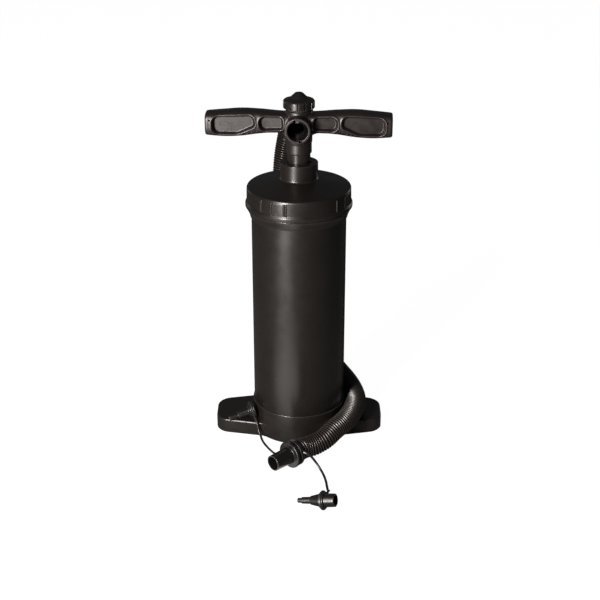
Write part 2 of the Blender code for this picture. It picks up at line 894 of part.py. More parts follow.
def make_flaps(lower, upper):
    """Rubber discs that lie on the cartridge's two seats."""
    for name, height, parent in (("flap_lower", 426.2, lower), ("flap_upper", 446.7, upper)):
        profile = [(0, height + 1.3), (9.3, height + 1.3), (9.3, height), (0, height)]
        turned(name, profile, "seal_rubber", parent, steps=SMALL_STEPS)


# ---------------------------------------------------------------- hose, nozzle, adaptors


def make_hose_cuff(handle):
    """The bayonet cuff on the rear port."""
    start = 22.0
    profile = [
        (15.4, 57.7 - start),
        (16.2, 56.9 - start),
        (17.0, 36.2 - start),
        (19.0, 35.6 - start),
        (19.0, 31.3 - start),
        (12.9, 31.3 - start),
        (12.9, 0),
        (10.2, 0),
        (10.2, 57.7 - start),
    ]
    place = frame_along((0, start, PORT_Z), (0, 1, 0))
    turned("hose_cuff", profile, "satin_black", handle, place, steps=TUBE_STEPS)


def make_hose_end():
    """The nozzle at the hose's free end and the strap's loop round its cuff."""
    place = frame_along(FLANGE_CENTRE, NOZZLE_WAY)
    profile = [
        (10.6, 31.0),
        (11.1, 30.4),
        (11.3, 2.2),
        (17.6, 2.2),
        (18.4, 1.4),
        (18.4, -1.6),
        (17.8, -2.2),
        (15.7, -2.2),
        (15.7, -14.1),
        (9.2, -14.1),
        (9.2, 31.0),
    ]
    turned("hose_nozzle", profile, "satin_black", place=place, steps=TUBE_STEPS)
    low, high = LOOP_OFFSET - 2.4, LOOP_OFFSET + 2.4
    ring("strap_loop", 16.0, 17.8, low, high, "soft_black", place=place, steps=TUBE_STEPS)


def make_adaptors():
    place = frame_along(SMALL_ADAPTOR_BACK, SMALL_ADAPTOR_TIP - SMALL_ADAPTOR_BACK)
    length = (SMALL_ADAPTOR_TIP - SMALL_ADAPTOR_BACK).length
    small = [
        (2.9, length),
        (3.1, length - 0.6),
        (3.2, length - 5.2),
        (4.2, length - 5.6),
        (4.5, length - 17.5),
        (5.6, length - 18.2),
        (8.7, 19.9),
        (11.0, 19.6),
        (11.0, 18.5),
        (8.7, 18.5),
        (8.7, 15.3),
        (11.0, 15.3),
        (11.0, 14.2),
        (8.7, 13.9),
        (8.5, 1.2),
        (7.6, 0),
        (6.2, 0),
        (6.2, 15.0),
        (1.8, length - 18.0),
        (1.7, length),
    ]
    turned("small_adaptor", small, "satin_black", place=place, steps=SMALL_STEPS)
    ring("small_adaptor_eyelet", 9.1, 12.5, 15.6, 18.2, "soft_black", place=place, steps=SMALL_STEPS)

    place = frame_along(LARGE_ADAPTOR_BACK, LARGE_ADAPTOR_TIP - LARGE_ADAPTOR_BACK)
    length = (LARGE_ADAPTOR_TIP - LARGE_ADAPTOR_BACK).length
    large = [
        (3.7, length),
        (3.9, length - 0.6),
        (4.1, length - 12.0),
        (5.4, length - 13.0),
        (8.7, 9.5),
        (8.7, 6.1),
        (11.0, 5.8),
        (11.0, 4.7),
        (8.7, 4.7),
        (8.7, 1.5),
        (11.8, 1.5),
        (11.8, 0.3),
        (11.2, 0),
        (6.4, 0),
        (6.4, 7.0),
        (2.2, length - 13.0),
        (2.1, length),
    ]
    turned("large_adaptor", large, "satin_black", place=place, steps=SMALL_STEPS)
    ring("large_adaptor_eyelet", 9.1, 12.5, 1.8, 4.4, "soft_black", place=place, steps=SMALL_STEPS)


# ---------------------------------------------------------------- assembly


def empty(name, location, parent=None):
    item = bpy.data.objects.new(name, None)
    item.empty_display_size = 20 * MM
    item.location = Vector(location) * MM
    item.parent = parent
    PARTS.objects.link(item)
    return item


def build():
    make_base()
    make_barrel()
    make_cap()
    make_rod_guide()

    slider = empty("stroke_axis", (0, 0, 0))
    handle = empty("swivel_axis", (0, 0, 0), slider)
    handle.rotation_euler = (0, 0, HANDLE_TURN)
    knob = empty("knob_axis", (0, 0, 0), handle)
    lower = empty("lower_flap_axis", (0, 0, 0), handle)
    upper = empty("upper_flap_axis", (0, 0, 0), handle)

    make_piston(slider, handle)
    make_handle(handle)
    make_knob(knob)
    make_flaps(lower, upper)
    make_hose_cuff(handle)
    make_hose_end()
    make_adaptors()
    flexible("hose", HOSE_ROUTE, HOSE_R, 2, "hose_black")
    flexible("strap_left", LEFT_STRAP_ROUTE, STRAP_R, 1, "soft_black")
    flexible("strap_right", RIGHT_STRAP_ROUTE, STRAP_R, 1, "soft_black")
    for item in PARTS.objects:
        if item.type == "MESH" and len(item.data.polygons):
            smooth(item)


clear_scene()
PARTS = new_collection("hand_air_pump")
CUTTERS = new_collection("cutters")
MATERIALS = make_materials()
build()
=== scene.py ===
"""Looks of a double-action hand air pump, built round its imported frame.

Lengths are in millimetres, and MM turns them into the frame's metres.
"""

import math

import bmesh
import bpy
import numpy as np
from mathutils import Matrix, Vector


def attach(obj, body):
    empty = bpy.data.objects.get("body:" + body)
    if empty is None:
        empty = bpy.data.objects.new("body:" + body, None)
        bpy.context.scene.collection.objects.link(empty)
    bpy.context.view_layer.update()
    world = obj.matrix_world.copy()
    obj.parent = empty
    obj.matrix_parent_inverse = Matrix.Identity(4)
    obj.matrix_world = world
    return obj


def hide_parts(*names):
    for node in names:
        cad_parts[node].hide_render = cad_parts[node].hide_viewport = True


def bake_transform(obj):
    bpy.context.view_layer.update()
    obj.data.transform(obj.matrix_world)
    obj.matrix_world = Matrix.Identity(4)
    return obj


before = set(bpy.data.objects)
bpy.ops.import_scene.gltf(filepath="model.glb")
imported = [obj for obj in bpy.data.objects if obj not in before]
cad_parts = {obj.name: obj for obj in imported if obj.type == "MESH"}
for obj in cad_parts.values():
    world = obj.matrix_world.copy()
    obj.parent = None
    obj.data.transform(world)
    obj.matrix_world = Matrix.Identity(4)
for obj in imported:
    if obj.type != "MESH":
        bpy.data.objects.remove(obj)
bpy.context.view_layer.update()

MM = 0.001

# Driving sizes, as in the CAD model.
BARREL_R, BARREL_INNER_R, BARREL_TOP = 62.8, 60.3, 346.0
CUP_R, CUP_TOP, CUP_FLOOR, CUP_BORE = 64.3, 43.0, 5.0, 63.1
FOOT_HALF_LENGTH, FOOT_END, FOOT_MIDDLE, FOOT_CORNER, FOOT_TOP = 116.0, 28.5, 53.0, 20.0, 20.0
RIM_R, BEAD_R, CAP_TOP = 68.5, 70.6, 355.0
COLLAR_R, COLLAR_TOP = 25.0, 388.0
ROD_R, ROD_BORE, ROD_LOW, ROD_TOP = 15.0, 12.8, 22.4, 412.0
HUB_R, HUB_BOTTOM, HUB_TOP = 17.4, 400.3, 457.0
PORT_Z, PORT_R, PORT_BORE, PORT_REACH = 437.0, 16.4, 13.2, 31.0
GRIP_HALF_LENGTH, GRIP_HALF_DEPTH, POCKET_FLOOR = 119.5, 15.5, 9.5
HANDLE_TURN = Matrix.Rotation(math.radians(-3.0), 4, "Z")
HOSE_R, HOSE_VALLEY_R, HOSE_PITCH = 14.7, 11.6, 3.4
STRAP_R = 1.8

# The handle's outline: (distance from the middle, height of its top and of its underside).
GRIP_OUTLINE = [
    (0.0, 453.4, 429.0),
    (24.0, 453.9, 428.8),
    (48.0, 456.0, 427.0),
    (75.0, 457.0, 423.2),
    (95.0, 455.4, 422.4),
    (GRIP_HALF_LENGTH, 453.0, 424.0),
]

# Middle line of the hose from the rear port, down behind the barrel and round to the front.
HOSE_ROUTE = [
    (3.1, 58.0, 437.0), (4.0, 75.0, 436.5), (3.5, 92.0, 433.0), (0.5, 110.0, 424.0),
    (-7.0, 124.5, 408.5), (-14.0, 132.5, 388.0), (-18.6, 134.5, 366.0),
    (-21.8, 133.5, 342.0), (-23.3, 130.0, 312.0), (-22.5, 124.5, 280.0),
    (-20.5, 118.5, 246.0), (-16.5, 112.5, 211.0), (-10.5, 107.0, 176.0),
    (-2.0, 102.5, 142.0), (11.0, 97.5, 109.5), (26.0, 89.0, 82.5),
    (41.5, 76.5, 63.0), (57.0, 60.0, 50.0), (70.0, 40.0, 42.5), (78.0, 16.0, 38.5),
    (80.0, -9.5, 36.8), (74.5, -34.5, 35.8), (63.0, -57.0, 33.3),
    (48.5, -74.5, 30.0), (35.2, -88.4, 24.2), (20.6, -97.0, 19.6),
    (6.6, -103.2, 18.7), (-0.7, -110.2, 18.7),
]
HOSE_SPLIT_Z = 250.0  # the hose is two pieces that meet here, one for each joint it crosses

FLANGE_CENTRE = Vector((-12.0, -121.0, 18.7))
NOZZLE_WAY = Vector((-0.722, -0.692, 0.0)).normalized()
LOOP_OFFSET = -8.0

LEFT_STRAP_ROUTE = [
    (-18.4, -101.3, 13.8), (-23.0, -98.0, 8.6), (-29.0, -95.0, 3.6),
    (-34.0, -90.5, 2.1), (-39.0, -83.0, 2.0), (-43.5, -75.0, 2.0),
    (-47.8, -66.0, 2.0), (-51.3, -57.0, 2.8), (-54.0, -49.8, 7.0),
    (-56.2, -46.0, 13.4), (-57.8, -44.2, 19.2), (-59.0, -41.2, 22.7),
    (-61.2, -36.4, 25.7),
]
RIGHT_STRAP_ROUTE = [
    (6.5, -127.3, 26.8), (11.0, -129.6, 25.6), (16.8, -129.9, 20.6),
    (23.5, -131.8, 12.0), (29.3, -138.0, 5.2), (33.2, -148.0, 2.4),
    (35.4, -160.0, 2.0), (36.4, -171.0, 2.0), (37.3, -181.0, 3.0),
    (38.2, -190.5, 8.0), (37.9, -199.3, 14.0), (35.2, -206.6, 14.4),
]

SMALL_ADAPTOR_BACK = Vector((46.1, -224.4, 16.7))
SMALL_ADAPTOR_TIP = Vector((-1.0, -207.0, 4.7))
LARGE_ADAPTOR_BACK = Vector((-63.2, -25.7, 33.2))
LARGE_ADAPTOR_TIP = Vector((-97.2, -36.5, 24.9))

# Screws that close the handle: (distance from the middle, height, how far out the head lies).
SCREW_PLACES = [(24.2, 441.5, POCKET_FLOOR), (52.8, 441.3, 15.2), (114.3, 440.0, 14.9)]


# ---------------------------------------------------------------- camera and stage


def make_camera():
    """A long lens in front of the pump, looking down at it."""
    data = bpy.data.cameras.new("camera")
    data.lens = 71.52
    data.sensor_width = 36.0
    item = bpy.data.objects.new("camera", data)
    item.location = (0.0014, -1.478, 0.873)
    item.rotation_euler = (math.radians(65.2), 0.0, 0.0)
    bpy.context.scene.collection.objects.link(item)
    bpy.context.scene.camera = item


def softbox(name, place, target, size, watts, colour=(1.0, 0.97, 0.94)):
    data = bpy.data.lights.new(name, "AREA")
    data.shape = "RECTANGLE"
    data.size, data.size_y = size
    data.energy = watts
    data.color = colour
    item = bpy.data.objects.new(name, data)
    item.location = place
    item.rotation_euler = (Vector(target) - Vector(place)).to_track_quat("-Z", "Y").to_euler()
    bpy.context.scene.collection.objects.link(item)


def make_stage():
    """A pale floor and backdrop, a tall soft key from the front and left, and weak fills."""
    bpy.ops.mesh.primitive_plane_add(size=16.0, location=(0, 0, -0.0005))
    floor = bpy.context.object
    floor.name = "floor"
    mat = bpy.data.materials.new("pale_floor")
    mat.use_nodes = True
    tree = mat.node_tree
    shader = tree.nodes["Principled BSDF"]
    shader.inputs["Base Color"].default_value = (0.16, 0.16, 0.16, 1.0)
    shader.inputs["Roughness"].default_value = 1.0
    shader.inputs["Specular IOR Level"].default_value = 0.0
    shader.inputs["Emission Color"].default_value = (1.0, 1.0, 1.0, 1.0)
    # The floor looks lit from below, as on a light table, but throws none of that on the object.
    seen = tree.nodes.new("ShaderNodeLightPath").outputs["Is Camera Ray"]
    glow = tree.nodes.new("ShaderNodeMath")
    glow.operation = "MULTIPLY"
    glow.inputs[1].default_value = 0.98
    tree.links.new(seen, glow.inputs[0])
    tree.links.new(glow.outputs["Value"], shader.inputs["Emission Strength"])
    floor.data.materials.append(mat)

    world = bpy.data.worlds.new("studio")
    world.use_nodes = True
    tree = world.node_tree
    fill = tree.nodes["Background"]
    fill.inputs["Color"].default_value = (0.94, 0.96, 1.0, 1.0)
    fill.inputs["Strength"].default_value = 0.055
    paper = tree.nodes.new("ShaderNodeBackground")
    paper.inputs["Color"].default_value = (1.0, 1.0, 1.0, 1.0)
    either = tree.nodes.new("ShaderNodeMixShader")
    tree.links.new(tree.nodes.new("ShaderNodeLightPath").outputs["Is Camera Ray"], either.inputs["Fac"])
    tree.links.new(fill.outputs["Background"], either.inputs[1])
    tree.links.new(paper.outputs["Background"], either.inputs[2])
    tree.links.new(either.outputs["Shader"], tree.nodes["World Output"].inputs["Surface"])
    bpy.context.scene.world = world
    bpy.context.scene.view_settings.view_transform = "Standard"

    middle = (0.0, 0.0, 0.24)
    softbox("key", (-0.85, -1.35, 0.62), middle, (0.34, 1.5), 66.0, (1.0, 0.945, 0.90))
    softbox("back_left_fill", (-1.4, 1.3, 0.35), middle, (0.6, 0.7), 0.6)
    softbox("back_right_fill", (1.3, 1.4, 0.35), middle, (0.6, 0.7), 1.4)
    # What a pale table sends back up: a weak strip that points at the barrel, and one by the feet.
    warm = (1.0, 0.95, 0.92)
    softbox("table_glow", (-0.35, -0.56, 0.07), (-0.28, -0.45, 1.07), (0.26, 0.9), 0.40, warm)
    softbox("foot_glow", (-0.10, -0.20, 0.001), (-0.10, -0.19, 1.0), (0.18, 0.16), 0.10, warm)


# ---------------------------------------------------------------- materials


class Shader:
    """A Principled material and short ways to feed it."""

    def __init__(self, name):
        self.mat = bpy.data.materials.new(name)
        self.mat.use_nodes = True
        self.tree = self.mat.node_tree
        self.out = self.tree.nodes["Principled BSDF"]
        self.where = self.node("ShaderNodeTexCoord").outputs["Object"]

    def node(self, kind, **settings):
        made = self.tree.nodes.new(kind)
        for key, value in settings.items():
            setattr(made, key, value)
        return made

    def feed(self, socket, value):
        if isinstance(value, bpy.types.NodeSocket):
            self.tree.links.new(value, socket)
        else:
            socket.default_value = value

    def noise(self, scale, detail=3.0, stretch=(1.0, 1.0, 1.0), roughness=0.55):
        """Noise with features about 1 / scale metres across, finer along a stretched axis."""
        mapping = self.node("ShaderNodeMapping")
        mapping.inputs["Scale"].default_value = stretch
        self.feed(mapping.inputs["Vector"], self.where)
        made = self.node("ShaderNodeTexNoise")
        self.feed(made.inputs["Vector"], mapping.outputs["Vector"])
        made.inputs["Scale"].default_value = scale
        made.inputs["Detail"].default_value = detail
        made.inputs["Roughness"].default_value = roughness
        return made.outputs["Fac"]

    def spread(self, value, low, high, to_low=0.0, to_high=1.0):
        """The value's stretch from low to high, spread over to_low to to_high."""
        made = self.node("ShaderNodeMapRange", interpolation_type="SMOOTHSTEP")
        for socket, number in zip(made.inputs, (value, low, high, to_low, to_high)):
            self.feed(socket, number)
        return made.outputs["Result"]

    def math(self, operation, a, b):
        made = self.node("ShaderNodeMath", operation=operation)
        self.feed(made.inputs[0], a)
        self.feed(made.inputs[1], b)
        return made.outputs["Value"]

    def mix(self, share, a, b):
        made = self.node("ShaderNodeMix", data_type="RGBA")
        self.feed(made.inputs["Factor"], share)
        sockets = [s for s in made.inputs if s.type == "RGBA"]
        for socket, colour in zip(sockets, (a, b)):
            self.feed(socket, colour if isinstance(colour, bpy.types.NodeSocket) else (*colour, 1.0))
        return [s for s in made.outputs if s.type == "RGBA"][0]

    def shape(self, name):
        """A number that the mesh carries at each point, such as how sharply it bends there."""
        return self.node("ShaderNodeAttribute", attribute_name=name).outputs["Fac"]

    def bump(self, height, depth, under=None):
        """Relief of the given depth in metres, over any relief under it."""
        made = self.node("ShaderNodeBump")
        made.inputs["Strength"].default_value = 1.0
        made.inputs["Distance"].default_value = depth
        self.feed(made.inputs["Height"], height)
        if under is not None:
            self.feed(made.inputs["Normal"], under)
        return made.outputs["Normal"]


def moulded(
    name,
    colour,
    rough,
    grain=0.00002,
    grain_scale=900.0,
    lines=0.0,
    line_stretch=(0.02, 0.02, 1.0),
    wear_and_highlight=0.55,
    dust=0.25,
    uneven=0.0,
):
    """Moulded plastic: fine grain, faint tool lines, patchy gloss, dust in hollows, and polished convex edges
    painted lighter, partly as wear and partly as a painted highlight.
    """
    s = Shader(name)
    # light: the colour of worn edges, made bright enough to serve also as a painted highlight on rounded
    # edges
    light = tuple(min(1.0, c * 2.6 + 0.018) for c in colour)
    dark = tuple(c * 0.86 for c in colour)
    dusty = tuple(c * 1.25 + 0.006 for c in colour)
    patches = s.noise(22.0, 4.0)
    specks = s.noise(260.0, 3.0)
    bend = s.shape("bend")
    body = s.mix(s.spread(patches, 0.32, 0.70), dark, colour)
    hollow = s.math("MULTIPLY", s.spread(bend, -0.05, -0.45), s.spread(specks, 0.35, 0.65, 0.3, 1.0))
    body = s.mix(s.math("MULTIPLY", hollow, dust), body, dusty)
    # Convex edges and crests are painted lighter: partly real wear, partly a painted highlight where light
    # would catch the rounding.
    edge = s.math("MULTIPLY", s.spread(bend, 0.10, 0.65), s.spread(specks, 0.25, 0.75, 0.45, 1.0))
    body = s.mix(s.math("MULTIPLY", edge, wear_and_highlight), body, light)
    s.feed(s.out.inputs["Base Color"], body)
    gloss = s.spread(s.noise(48.0, 5.0), 0.30, 0.72, rough - 0.03 - uneven, rough + 0.04 + uneven)
    s.feed(s.out.inputs["Roughness"], s.math("SUBTRACT", gloss, s.math("MULTIPLY", edge, 0.18 * wear_and_highlight)))
    s.out.inputs["IOR"].default_value = 1.58
    relief = s.bump(s.noise(grain_scale, 2.0), grain)
    if lines > 0:
        relief = s.bump(s.noise(700.0, 2.0, line_stretch), lines, relief)
    s.feed(s.out.inputs["Normal"], relief)
    return s.mat


def rubber(name, colour, rough):
    """Soft rubber with a greasy sheen here and there."""
    s = Shader(name)
    smears = s.noise(60.0, 4.0)
    lighter = tuple(c * 1.5 for c in colour)
    s.feed(s.out.inputs["Base Color"], s.mix(s.spread(smears, 0.35, 0.7), colour, lighter))
    s.feed(s.out.inputs["Roughness"], s.spread(smears, 0.3, 0.7, rough - 0.2, rough + 0.05))
    s.feed(s.out.inputs["Normal"], s.bump(s.noise(1200.0, 2.0), 0.00001))
    return s.mat


def turned_acetal(name):
    """Off-white plastic with fine turning lines and a trace of grease."""
    s = Shader(name)
    stains = s.noise(35.0, 4.0)
    clean, stained = (0.72, 0.71, 0.68), (0.50, 0.47, 0.40)
    s.feed(s.out.inputs["Base Color"], s.mix(s.spread(stains, 0.45, 0.8), clean, stained))
    s.feed(s.out.inputs["Roughness"], s.spread(s.noise(90.0, 3.0), 0.3, 0.7, 0.32, 0.46))
    s.feed(s.out.inputs["Normal"], s.bump(s.noise(900.0, 2.0, (0.02, 0.02, 1.0)), 0.00002))
    return s.mat


def zinc(name):
    """Zinc-plated steel, a little dull, with brushed scratches and stained recesses."""
    s = Shader(name)
    cloudy = s.noise(160.0, 4.0)
    body = s.mix(s.spread(cloudy, 0.35, 0.7), (0.42, 0.42, 0.43), (0.62, 0.62, 0.63))
    s.feed(s.out.inputs["Base Color"], s.mix(s.spread(s.shape("bend"), -0.1, -0.8), body, (0.12, 0.11, 0.10)))
    s.out.inputs["Metallic"].default_value = 1.0
    s.feed(s.out.inputs["Roughness"], s.spread(cloudy, 0.3, 0.7, 0.28, 0.45))
    s.feed(s.out.inputs["Normal"], s.bump(s.noise(2600.0, 2.0, (1.0, 0.1, 1.0)), 0.000008))
    return s.mat


def make_materials():
    """Every material by its short name. Colours are linear."""
    around = (0.02, 0.02, 1.0)
    upright = (1.0, 1.0, 0.015)
    return {
        "base": moulded("base_moulding", (0.0100, 0.0080, 0.0072), 0.33, grain=0.000016),
        "barrel": moulded(
            "barrel_tube", (0.0075, 0.0062, 0.0056), 0.30, grain=0.00001, lines=0.000004, line_stretch=upright
        ),
        "cap": moulded(
            "cap_moulding", (0.0085, 0.0068, 0.0062), 0.30, grain=0.00001, lines=0.000008, line_stretch=around
        ),
        "handle": moulded("handle_moulding", (0.0112, 0.0079, 0.0074), 0.38, grain=0.00002, wear_and_highlight=0.6),
        "pocket": moulded(
            "pocket_moulding", (0.0092, 0.0062, 0.0056), 0.38, uneven=0.06, grain=0.00004, wear_and_highlight=0.4
        ),
        "knob": moulded("knob_moulding", (0.0080, 0.0066, 0.0062), 0.31, wear_and_highlight=0.6),
        # The hose's ring crests are painted lighter: partly wear, partly a painted highlight.
        "hose": moulded("hose_plastic", (0.0110, 0.0082, 0.0074), 0.33, grain=0.00001, wear_and_highlight=0.7, dust=0.0),
        "fitting": moulded("fitting_moulding", (0.0070, 0.0060, 0.0058), 0.30, wear_and_highlight=0.7),
        "strap": moulded("strap_moulding", (0.0080, 0.0070, 0.0068), 0.36, wear_and_highlight=0.9),
        "rod": moulded("rod_tube", (0.0120, 0.0100, 0.0094), 0.27, grain=0.000004, wear_and_highlight=0.0),
        "rubber": rubber("seal_rubber", (0.016, 0.016, 0.016), 0.75),
        "acetal": turned_acetal("turned_acetal"),
        "zinc": zinc("zinc_steel"),
    }


# ---------------------------------------------------------------- mesh helpers


def solid(name, verts, faces):
    """A mesh object from points in millimetres, with its faces turned outwards."""
    mesh = bpy.data.meshes.new(name)
    mesh.from_pydata([tuple(c * MM for c in v) for v in verts], [], faces)
    bm = bmesh.new()
    bm.from_mesh(mesh)
    bmesh.ops.recalc_face_normals(bm, faces=bm.faces)
    bm.to_mesh(mesh)
    bm.free()
    item = bpy.data.objects.new(name, mesh)
    bpy.context.scene.collection.objects.link(item)
    return item


def rounded(corners, closed=True, steps=4):
    """Points through (x, y, corner radius) corners, with an arc wherever there is a radius."""
    points = []
    count = len(corners)
    for i, (x, y, radius) in enumerate(corners):
        here = Vector((x, y))
        ends = not closed and i in (0, count - 1)
        if ends or radius <= 0:
            points.append(here)
            continue
        before = Vector(corners[i - 1][:2]) - here
        after = Vector(corners[(i + 1) % count][:2]) - here
        room = 0.48 * min(before.length, after.length)
        before.normalize()
        after.normalize()
        half = before.angle(after) / 2
        reach = min(radius / math.tan(half), room)
        radius = reach * math.tan(half)
        centre = here + (before + after).normalized() * (radius / math.sin(half))
        first = here + before * reach - centre
        last = here + after * reach - centre
        sweep = first.angle_signed(last)
        for k in range(steps + 1):
            points.append(centre + Matrix.Rotation(-sweep * k / steps, 2) @ first)
    return points


def refined(points, longest, closed=True):
    """The same outline with no step longer than longest."""
    out = []
    ends = points[1:] + [points[0]] if closed else points[1:]
    for a, b in zip(points, ends):
        parts = max(1, math.ceil((b - a).length / longest))
        out += [a.lerp(b, k / parts) for k in range(parts)]
    return out if closed else out + [points[-1]]


def swept_round(name, outline, columns=128, closed=True, shape=None, place=None):
    """A round solid: an outline of (radius, height) points carried round Z. columns is a count or a
    list of angles, and shape(radius, height, angle) may move a point."""
    if isinstance(columns, int):
        columns = [2 * math.pi * k / columns for k in range(columns)]
    verts, rows = [], []
    for r, z in outline:
        start = len(verts)
        if r < 1e-6:
            verts.append((0.0, 0.0, z))
            rows.append([start] * len(columns))
            continue
        for angle in columns:
            rr, zz = shape(r, z, angle) if shape else (r, z)
            verts.append((rr * math.cos(angle), rr * math.sin(angle), zz))
        rows.append(list(range(start, len(verts))))
    pairs = list(zip(rows, rows[1:]))
    if closed:
        pairs.append((rows[-1], rows[0]))
    faces = []
    for upper, lower in pairs:
        for k in range(len(columns)):
            m = (k + 1) % len(columns)
            face = list(dict.fromkeys((upper[k], lower[k], lower[m], upper[m])))
            faces.append(face)
    item = solid(name, verts, faces)
    if place is not None:
        item.data.transform(place)
    return item


def frame_along(origin, way):
    """Matrix whose local Z runs along way, with its origin at origin (millimetres)."""
    turn = Vector((0, 0, 1)).rotation_difference(Vector(way).normalized()).to_matrix().to_4x4()
    return Matrix.Translation(Vector(origin) * MM) @ turn


def box(name, low, high):
    corners = [[a, b] for a, b in zip(low, high)]
    verts = [(x, y, z) for x in corners[0] for y in corners[1] for z in corners[2]]
    faces = [(0, 1, 3, 2), (4, 6, 7, 5), (0, 4, 5, 1), (2, 3, 7, 6), (0, 2, 6, 4), (1, 5, 7, 3)]
    return solid(name, verts, faces)


def rod(name, radius, start, end, columns=32):
    """A plain round form from start to end, for cutting."""
    start, end = Vector(start), Vector(end)
    outline = [(0, 0), (radius, 0), (radius, (end - start).length), (0, (end - start).length)]
    return swept_round(name, outline, columns, False, None, frame_along(start, end - start))


def baked(item, *spent):
    """Applies the modifiers of a piece and removes the objects that they used."""
    graph = bpy.context.evaluated_depsgraph_get()
    mesh = bpy.data.meshes.new_from_object(item.evaluated_get(graph))
    item.modifiers.clear()
    item.data = mesh
    for other in spent:
        bpy.data.objects.remove(other, do_unlink=True)
    return item


def carved(item, *cutters):
    """The piece less its cutters. Both are closed, which the manifold solver needs, and it is quick."""
    for number, other in enumerate(cutters):
        step = item.modifiers.new(f"cut_{number}", "BOOLEAN")
        step.operation = "DIFFERENCE"
        step.solver = "MANIFOLD"
        step.object = other
    bpy.context.view_layer.update()
    return baked(item, *cutters)


def merged(name, *items):
    """One object holding all the items' meshes."""
    bm = bmesh.new()
    for item in items:
        bm.from_mesh(item.data)
        bpy.data.objects.remove(item, do_unlink=True)
    mesh = bpy.data.meshes.new(name)
    bm.to_mesh(mesh)
    bm.free()
    result = bpy.data.objects.new(name, mesh)
    bpy.context.scene.collection.objects.link(result)
    return result


def fused(item, voxel, passes):
    """One skin round all the item's overlapping forms, with soft hollows where they meet."""
    skin = item.modifiers.new("skin", "REMESH")
    skin.mode = "VOXEL"
    skin.voxel_size = voxel * MM
    soften = item.modifiers.new("soften", "SMOOTH")
    soften.factor = 0.5
    soften.iterations = passes
    bpy.context.view_layer.update()
    return baked(item)


def points_of(mesh):
    co = np.empty(len(mesh.vertices) * 3, np.float32)
    mesh.vertices.foreach_get("co", co)
    return co.reshape(-1, 3).astype(float)


def mark_bends(mesh):
    """Stores at each point how sharply the surface bends outwards there, per millimetre of radius."""
    co = points_of(mesh)
    normals = np.empty(len(co) * 3, np.float32)
    mesh.vertex_normals.foreach_get("vector", normals)
    normals = normals.reshape(-1, 3).astype(float)
    pairs = np.empty(len(mesh.edges) * 2, np.int32)
    mesh.edges.foreach_get("vertices", pairs)
    a, b = pairs.reshape(-1, 2).T
    way = (co[b] - co[a]) / MM
    square = np.maximum((way**2).sum(1), 1e-4)
    total, weight = np.zeros(len(co)), np.zeros(len(co))
    for here, sign in ((a, -1.0), (b, 1.0)):
        np.add.at(total, here, sign * 2 * (normals[here] * way).sum(1) / square)
        np.add.at(weight, here, 1.0)
    bend = np.clip(total / np.maximum(weight, 1.0), -1.5, 1.5)
    near, count = bend.copy(), np.ones(len(co))
    for here, there in ((a, b), (b, a)):
        np.add.at(near, here, bend[there])
        np.add.at(count, here, 1.0)
    layer = mesh.attributes.new("bend", "FLOAT", "POINT")
    layer.data.foreach_set("value", (near / count).astype(np.float32))


def dress(item, material, sharp=50.0):
    """Shading, the bend marks and material of a finished piece."""
    mesh = item.data
    mesh.polygons.foreach_set("use_smooth", [True] * len(mesh.polygons))
    mesh.set_sharp_from_angle(angle=math.radians(sharp))
    mark_bends(mesh)
    mesh.materials.clear()
    mesh.materials.append(MATERIALS[material])
    even = item.modifiers.new("even_normals", "WEIGHTED_NORMAL")
    even.keep_sharp = True
    return item


def finished(item, material, slot, body, *nodes):
    """A rigid piece that rides on a body and stands for CAD nodes."""
    dress(item, material)
    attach(item, body)
    if nodes:
        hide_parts(*nodes)
    return item


# ---------------------------------------------------------------- hose and straps


def catmull(points, per_span):
    """Points on the smooth curve through points, per_span to each span."""
    pts = [Vector(p) for p in points]
    pts = [2 * pts[0] - pts[1]] + pts + [2 * pts[-1] - pts[-2]]
    out = []
    for i in range(1, len(pts) - 2):
        a, b, c, d = pts[i - 1 : i + 3]
        for k in range(per_span):
            t = k / per_span
            out.append(
                0.5 * (2 * b + (c - a) * t + (2 * a - 5 * b + 4 * c - d) * t**2)
                + 0.5 * (3 * b - a - 3 * c + d) * t**3
            )
    return out + [pts[-2]]


def spaced(points, step):
    """The line through points again, with points about step apart, and its length."""
    co = np.array([list(p) for p in points])
    far = np.concatenate([[0.0], np.cumsum(np.linalg.norm(np.diff(co, axis=0), axis=1))])
    count = max(2, round(far[-1] / step))
    at = np.linspace(0.0, far[-1], count + 1)
    return np.stack([np.interp(at, far, co[:, k]) for k in range(3)], axis=1), at


def tube(name, line, radii, around, flatten=1.0):
    """A closed tube along the line, with the given radius at each point."""
    ways = np.gradient(line, axis=0)
    ways /= np.linalg.norm(ways, axis=1)[:, None]
    side = Vector(ways[0]).orthogonal().normalized()
    verts = []
    angles = [2 * math.pi * k / around for k in range(around)]
    for i, (centre, way, radius) in enumerate(zip(line, ways, radii)):
        if i:
            side.rotate(Vector(ways[i - 1]).rotation_difference(Vector(way)))
            side = (side - Vector(way) * side.dot(Vector(way))).normalized()
        other = Vector(way).cross(side)
        middle = Vector(centre)
        verts += [
            tuple(middle + (side * math.cos(a) + other * (flatten * math.sin(a))) * radius) for a in angles
        ]
    faces = []
    for i in range(len(line) - 1):
        for k in range(around):
            m = (k + 1) % around
            faces.append((i * around + k, i * around + m, (i + 1) * around + m, (i + 1) * around + k))
    faces.append(tuple(range(around)))
    faces.append(tuple((len(line) - 1) * around + k for k in range(around)))
    return solid(name, verts, faces)


